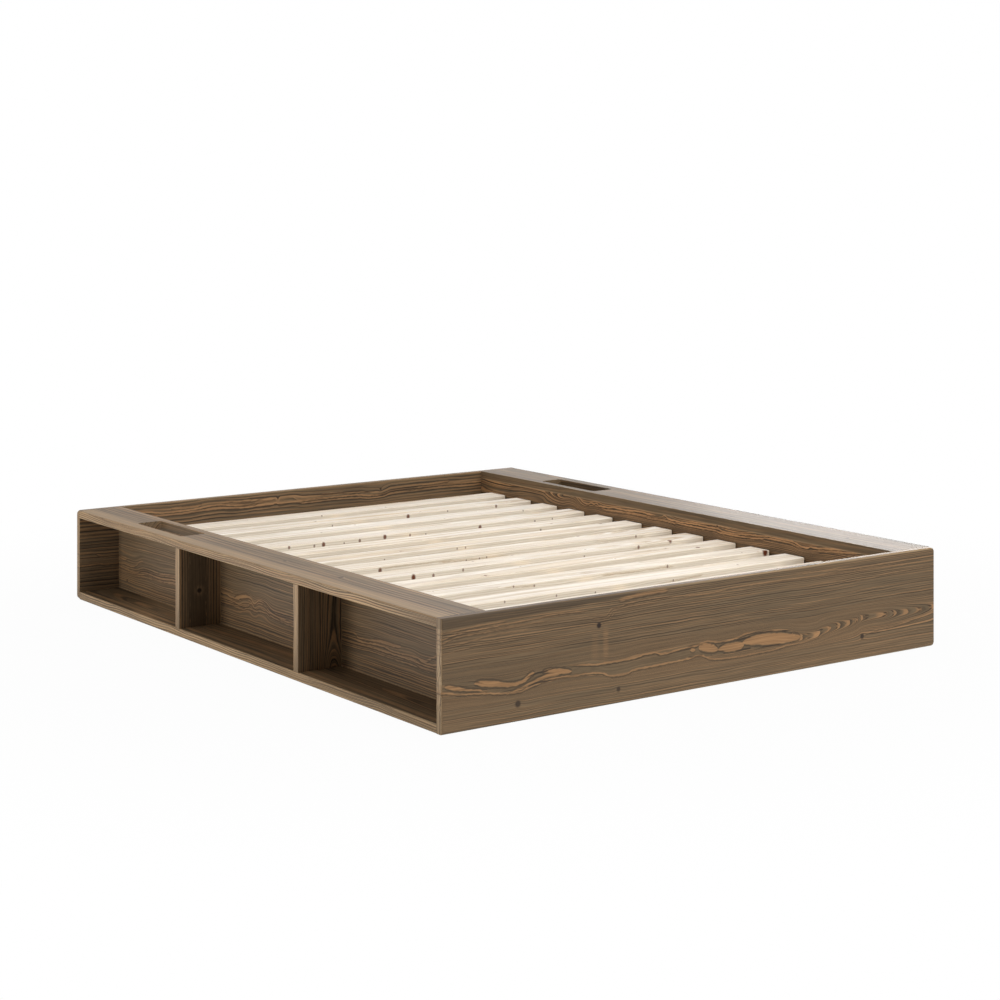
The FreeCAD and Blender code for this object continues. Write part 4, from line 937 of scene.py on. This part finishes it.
class PaleSpruceFinish(bpy.types.PropertyGroup):
    """Planed spruce with no finish, for the slats."""
    label: name_start("pale_spruce")
    ground: wood("ground", 250, 242, 231)
    warm: wood("warm", 248, 238, 223)
    flame: wood("flame", 226, 207, 179)
    line: wood("line", 196, 167, 131)
    knot: wood("knot", 106, 54, 30)
    edge: wood("edge", 255, 243, 223)
    hatch: wood("hatch", 0.12)
    dash: wood("dash", 0.4)
    fine: wood("fine", 0.4)
    stripe: wood("stripe", 0.5)
    knot_taper: wood("knot_taper", 0.7)
    wear: wood("wear", 0.1)
    gloss: wood("gloss", 0.18)
    roughness: wood("roughness", 0.66)
    relief: wood("relief", 0.25)


class PlainPineFinish(bpy.types.PropertyGroup):
    """Planed pine with no finish, for the beam and legs."""
    label: name_start("plain_pine")
    ground: wood("ground", 206, 190, 164)
    warm: wood("warm", 198, 180, 152)
    flame: wood("flame", 180, 156, 122)
    line: wood("line", 168, 144, 110)
    knot: wood("knot", 120, 72, 44)
    edge: wood("edge", 190, 170, 138)
    hatch: wood("hatch", 0.1)
    dash: wood("dash", 0.4)
    fine: wood("fine", 0.7)
    stripe: wood("stripe", 0.6)
    knot_taper: wood("knot_taper", 0.35)
    wear: wood("wear", 0.1)
    gloss: wood("gloss", 0.3)
    roughness: wood("roughness", 0.6)
    relief: wood("relief", 0.3)


class WebbingFinish(bpy.types.PropertyGroup):
    """Woven strap that keeps the slats apart."""
    light: tint("Raised thread", "Threads on top of the weave", 226, 222, 212)
    # Colour that the low parts of the weave turn to: painted shade in its hollows
    shade: tint("Shaded sunk thread", "Threads under the weave", 176, 170, 158)
    thread: amount("Thread", "Width of one thread", 0.0016, unit="LENGTH", min=0.0004)
    sag: amount("Sag", "How far the strap hangs between slats", 0.003, unit="LENGTH", min=0.0)


class HardwareFinish(bpy.types.PropertyGroup):
    """Metal, dowels and glides."""
    zinc: tint("Zinc plate", "Bright plated steel", 196, 200, 204)
    zinc_shade: tint("Zinc shade", "Duller patches of the plating", 168, 174, 180)
    cast: tint("Cast zinc", "Cam housings", 150, 152, 152)
    cast_shade: tint("Cast shade", "Darker skin of the casting", 126, 128, 130)
    beech: tint("Beech", "Dowels", 214, 178, 134)
    beech_shade: tint("Beech shade", "Darker dowel wood", 196, 156, 112)
    plastic: tint("Glide", "Floor glides", 52, 50, 48)
    plastic_shade: tint("Glide shade", "Scuffed plastic", 66, 63, 60)


class StudioSettings(bpy.types.PropertyGroup):
    """Camera and lights."""
    camera_place: bpy.props.FloatVectorProperty(
        name="Camera place", description="Where the camera stands", default=(-3.7740, -5.3432, 1.3562),
        subtype="TRANSLATION")
    camera_turn: amount(
        "Camera turn", "Turn of the level camera from the bed's length", 0.6227, subtype="ANGLE")
    focal_pixels: amount("Focal length", "Focal length in thousandths of the picture's width", 2171.7)
    horizon: amount("Horizon", "Height of the horizon in thousandths from the picture's top", 170.4)
    white: tint("Backdrop", "Paper that the bed stands on", 255, 255, 255)
    sky: amount("Room light", "Light from all round", 0.2)
    top_power: amount("Top light", "Large lamp overhead", 120.0, unit="POWER")
    front_power: amount("Front light", "Lamp at the foot", 220.0, unit="POWER")
    side_power: amount("Side light", "Lamp on the left", 50.0, unit="POWER")
    rear_power: amount("Rear light", "Lamp behind", 174.0, unit="POWER")
    fill_power: amount("Rear fill", "Weaker lamp behind the head", 17.0, unit="POWER")
    glow_power: amount("Floor light", "Light that the paper throws up on the left", 16.0, unit="POWER")


class BedLooks(bpy.types.PropertyGroup):
    """Every setting of the bed's looks."""
    stained_pine: bpy.props.PointerProperty(type=StainedPineFinish)
    pale_spruce: bpy.props.PointerProperty(type=PaleSpruceFinish)
    plain_pine: bpy.props.PointerProperty(type=PlainPineFinish)
    webbing: bpy.props.PointerProperty(type=WebbingFinish)
    hardware: bpy.props.PointerProperty(type=HardwareFinish)
    studio: bpy.props.PointerProperty(type=StudioSettings)


class BED_OT_end_boards(bpy.types.Operator):
    """Stain the foot board and the head board"""
    bl_idname = "bed.end_boards"
    bl_label = "End boards"

    def execute(self, context):
        dress_boards(("foot_board", "head_board"), context.scene.bed_looks.stained_pine, "X")
        return {"FINISHED"}


class BED_OT_unit_boards(bpy.types.Operator):
    """Stain the top and bottom boards and the dividers of both side units"""
    bl_idname = "bed.unit_boards"
    bl_label = "Unit boards"

    def execute(self, context):
        pieces = ("top_board", "bottom_board", "divider_foot", "divider_head")
        for side, outward in (("left", "-X"), ("right", "+X")):
            names = [f"{side}_{piece}" for piece in pieces]
            dress_boards(names, context.scene.bed_looks.stained_pine, outward)
        return {"FINISHED"}


class BED_OT_back_panels(bpy.types.Operator):
    """Stain the back panels of both units and the ledgers on them"""
    bl_idname = "bed.back_panels"
    bl_label = "Back panels and ledgers"

    def execute(self, context):
        names = ("left_back_panel", "left_slat_ledger", "right_back_panel", "right_slat_ledger")
        dress_boards(names, context.scene.bed_looks.stained_pine)
        return {"FINISHED"}


class BED_OT_slats(bpy.types.Operator):
    """Give each slat its own pale spruce"""
    bl_idname = "bed.slats"
    bl_label = "Slats"

    def execute(self, context):
        draw = np.random.default_rng(SLAT_DRAWS)
        for place, name in enumerate(SLATS, start=1):
            low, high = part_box(name)
            grain = slat_grain(place, 0.5 * (low.y + high.y) / MM, draw)
            dress(name, board_material(name, grain, context.scene.bed_looks.pale_spruce, "-Y"))
        return {"FINISHED"}


class BED_OT_straps(bpy.types.Operator):
    """Weave the two straps under the slats"""
    bl_idname = "bed.straps"
    bl_label = "Slat straps"

    def execute(self, context):
        finish = context.scene.bed_looks.webbing
        material = webbing_material(finish)
        for side in ("left", "right"):
            node = f"{side}_slat_strap"
            strap = webbing_strap(f"{side}_webbing", node, finish)
            strap.data.materials.append(material)
            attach(strap, "slat_base")
            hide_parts(node)
        return {"FINISHED"}


class BED_OT_centre_support(bpy.types.Operator):
    """Finish the centre beam and its legs"""
    bl_idname = "bed.centre_support"
    bl_label = "Centre support"

    def execute(self, context):
        names = ("centre_beam", "centre_leg_foot", "centre_leg_head")
        dress_boards(names, context.scene.bed_looks.plain_pine)
        return {"FINISHED"}


class BED_OT_hardware(bpy.types.Operator):
    """Plate the steel, and finish the cams, dowels and glides"""
    bl_idname = "bed.hardware"
    bl_label = "Hardware"

    def execute(self, context):
        look = context.scene.bed_looks.hardware
        for name, key, scale, roughness_pair, metallic, nodes in HARDWARE:
            pair = tuple(getattr(look, key)), tuple(getattr(look, f"{key}_shade"))
            material = plain_material(name, pair, scale, roughness_pair, metallic)
            for node in nodes:
                dress(node, material)
        return {"FINISHED"}


class BED_OT_stage(bpy.types.Operator):
    """Lay the paper floor, hang the lamps and stand the camera"""
    bl_idname = "bed.stage"
    bl_label = "Stage"

    def execute(self, context):
        studio = context.scene.bed_looks.studio
        context.scene.view_settings.view_transform = "Standard"
        paper_floor(studio)
        room_light(context.scene, studio)
        for name, power, place, target, size in LAMPS:
            soft_lamp(name, place, target, size, getattr(studio, power))
        stand_camera(context.scene, studio)
        return {"FINISHED"}


class BED_PT_looks(bpy.types.Panel):
    """The bed's finishes and the operators that put them on"""
    bl_label = "Storage bed"
    bl_idname = "BED_PT_looks"
    bl_space_type = "VIEW_3D"
    bl_region_type = "UI"
    bl_category = "Bed"

    def draw(self, context):
        for group in BedLooks.__annotations__:
            part = getattr(context.scene.bed_looks, group)
            box = self.layout.box()
            for key in part.__annotations__:
                box.prop(part, key)
        for step in STEPS:
            self.layout.operator(step.bl_idname)


def webbing_strap(name, node, finish):
    """A flat strap carried along the bed under the slats.

    Along the strap its height is the slats' underside, less a parabola of the sag in each gap.
    Across it the profile is a flat loop whose two selvedges are half rounds of the strap's thickness.
    """
    low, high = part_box(node)
    boxes = [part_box(slat) for slat in SLATS]
    edges = np.sort(np.array([[start.y, end.y] for start, end in boxes]).ravel())
    stations = np.linspace(low.y, high.y, STRAP_STATIONS)
    gap = np.clip(np.searchsorted(edges, stations) - 1, 0, len(edges) - 2)
    share = (stations - edges[gap]) / (edges[gap + 1] - edges[gap])
    hang = np.where(gap % 2 == 1, finish.sag * 4 * share * (1 - share), 0.0)
    half = 0.5 * (high.z - low.z)
    turn = np.linspace(-0.5 * math.pi, 0.5 * math.pi, 7)
    reach = 0.5 * (high.x - low.x) - half
    right = np.stack((reach + half * np.cos(turn), half * np.sin(turn)), axis=1)
    across = np.linspace(reach, -reach, 9)[1:-1]
    top = np.stack((across, np.full_like(across, half)), axis=1)
    loop = np.concatenate((right, top, -right, -top))
    count, around = len(stations), len(loop)
    grid = np.empty((count, around, 3))
    grid[:, :, 0] = 0.5 * (low.x + high.x) + loop[:, 0]
    grid[:, :, 1] = stations[:, None]
    grid[:, :, 2] = high.z - half + loop[None, :, 1] - hang[:, None]
    rows, columns = np.arange(count - 1)[:, None] * around, np.arange(around)[None, :]
    first = (rows + columns).ravel()
    second = (rows + (columns + 1) % around).ravel()
    faces = np.stack((first, first + around, second + around, second), axis=1).tolist()
    faces.append(list(range(around)))
    faces.append(list(range((count - 1) * around, count * around))[::-1])
    mesh = bpy.data.meshes.new(name)
    mesh.from_pydata(grid.reshape(-1, 3).tolist(), [], faces)
    mesh.update()
    mesh.polygons.foreach_set("use_smooth", np.ones(len(mesh.polygons), bool))
    strap = bpy.data.objects.new(name, mesh)
    bpy.context.scene.collection.objects.link(strap)
    return strap


def webbing_material(finish):
    """Plain weave: two rows of half-round threads that take turns on top, with a fuzzy surface. Where the
    weave is low, its colour turns to the sunk-thread colour as painted shade.
    """
    material = bpy.data.materials.new("woven_webbing")
    sheet = blank_sheet(material)
    spots = sheet.node("ShaderNodeTexCoord").outputs["Object"]
    x, y, _ = sheet.split(sheet.scaled(spots, (math.pi / finish.thread,) * 3))
    warp, weft = sheet.sine(x), sheet.sine(y)
    over = sheet.fade(sheet.times(warp, weft), -0.2, 0.2)
    raised = sheet.times(sheet.absolute(warp), over)
    sunk = sheet.times(sheet.absolute(weft), sheet.minus(1.0, over))
    height = sheet.plus(raised, sunk)
    fuzz = sheet.noise(sheet.scaled(spots, (900.0, 900.0, 900.0)), 2.0)
    # Lower in the weave is darker: painted shade in its hollows
    level = sheet.times_plus(fuzz, 0.3, sheet.times(height, 0.8))
    shade = sheet.mix(sheet.fade(level, 0.2, 0.9), tuple(finish.shade), tuple(finish.light))
    bump = sheet.node("ShaderNodeBump", None, {"Strength": 0.6, "Distance": 0.0004, "Height": height})
    sheet.close(sheet.node("ShaderNodeBsdfPrincipled", None, {
        "Base Color": shade, "Roughness": sheet.span(fuzz, 0, 1, 0.75, 0.95), "Sheen Weight": 0.2,
        "Normal": bump.outputs[0]}))
    return material


def paper_floor(studio):
    """A level square of paper that bounces light. Cameras see it white, with the bed's faint shadow."""
    corners = np.array(((-1, -1, 0), (1, -1, 0), (1, 1, 0), (-1, 1, 0)), float) * PAPER_REACH
    mesh = bpy.data.meshes.new("paper_floor")
    mesh.from_pydata(corners.tolist(), [], [(0, 1, 2, 3)])
    floor = bpy.data.objects.new("paper_floor", mesh)
    bpy.context.scene.collection.objects.link(floor)
    material = bpy.data.materials.new("white_paper")
    sheet = blank_sheet(material)
    spot = sheet.node("ShaderNodeTexCoord").outputs["Object"]
    away = sheet.fade(sheet.distance(spot, (0.0, 0.0, 0.0)), 1.1, 2.6, 0.97, 1.0)
    paper = sheet.node("ShaderNodeBsdfDiffuse", None, {"Color": PAPER_GREY})
    glow = sheet.node("ShaderNodeEmission", None, {"Color": (*studio.white, 1.0), "Strength": 1.0})
    sheet.close(sheet.node("ShaderNodeMixShader", None, {
        0: sheet.times(sheet.seen(), away), 1: paper.outputs[0], 2: glow.outputs[0]}))
    mesh.materials.append(material)


def room_light(scene, studio):
    """Even white light from all round. Cameras and reflections see plain white paper."""
    world = bpy.data.worlds.new("white_room")
    scene.world = world
    sheet = blank_sheet(world)
    level = sheet.span(sheet.seen(), 0.0, 1.0, studio.sky, 1.0)
    glow = sheet.node("ShaderNodeBackground", None, {"Color": (*studio.white, 1.0), "Strength": level})
    sheet.close(glow, "World")


def soft_lamp(name, place, target, size, power):
    """A rectangular soft box that lights and shows in reflections, and that the camera doesn't see."""
    data = bpy.data.lights.new(name, "AREA")
    data.shape = "RECTANGLE"
    data.size, data.size_y = size
    data.energy = power
    lamp = bpy.data.objects.new(name, data)
    lamp.location = place
    lamp.rotation_euler = (Vector(target) - Vector(place)).to_track_quat("-Z", "Y").to_euler()
    lamp.visible_camera = False
    bpy.context.scene.collection.objects.link(lamp)


def stand_camera(scene, studio):
    """A level camera, shifted down as the photograph's upright lines need."""
    data = bpy.data.cameras.new("camera")
    data.sensor_fit = "HORIZONTAL"
    data.sensor_width = 36.0
    data.lens = data.sensor_width * studio.focal_pixels / PICTURE_WIDTH
    data.shift_y = (studio.horizon - PICTURE_WIDTH / 2) / PICTURE_WIDTH
    data.clip_end = 60.0
    camera = bpy.data.objects.new("camera", data)
    camera.location = studio.camera_place
    camera.rotation_euler = (math.radians(90), 0.0, -studio.camera_turn)
    scene.collection.objects.link(camera)
    scene.camera = camera


STEPS = (BED_OT_end_boards, BED_OT_unit_boards, BED_OT_back_panels, BED_OT_slats, BED_OT_straps,
         BED_OT_centre_support, BED_OT_hardware, BED_OT_stage)
CLASSES = (StainedPineFinish, PaleSpruceFinish, PlainPineFinish, WebbingFinish, HardwareFinish,
           StudioSettings, BedLooks, *STEPS, BED_PT_looks)


def register():
    for kind in CLASSES:
        bpy.utils.register_class(kind)
    bpy.types.Scene.bed_looks = bpy.props.PointerProperty(type=BedLooks)


def unregister():
    del bpy.types.Scene.bed_looks
    for kind in reversed(CLASSES):
        bpy.utils.unregister_class(kind)


def main():
    register()
    bpy.ops.bed.end_boards()
    bpy.ops.bed.unit_boards()
    bpy.ops.bed.back_panels()
    bpy.ops.bed.slats()
    bpy.ops.bed.straps()
    bpy.ops.bed.centre_support()
    bpy.ops.bed.hardware()
    bpy.ops.bed.stage()


if __name__ == "__main__":
    main()
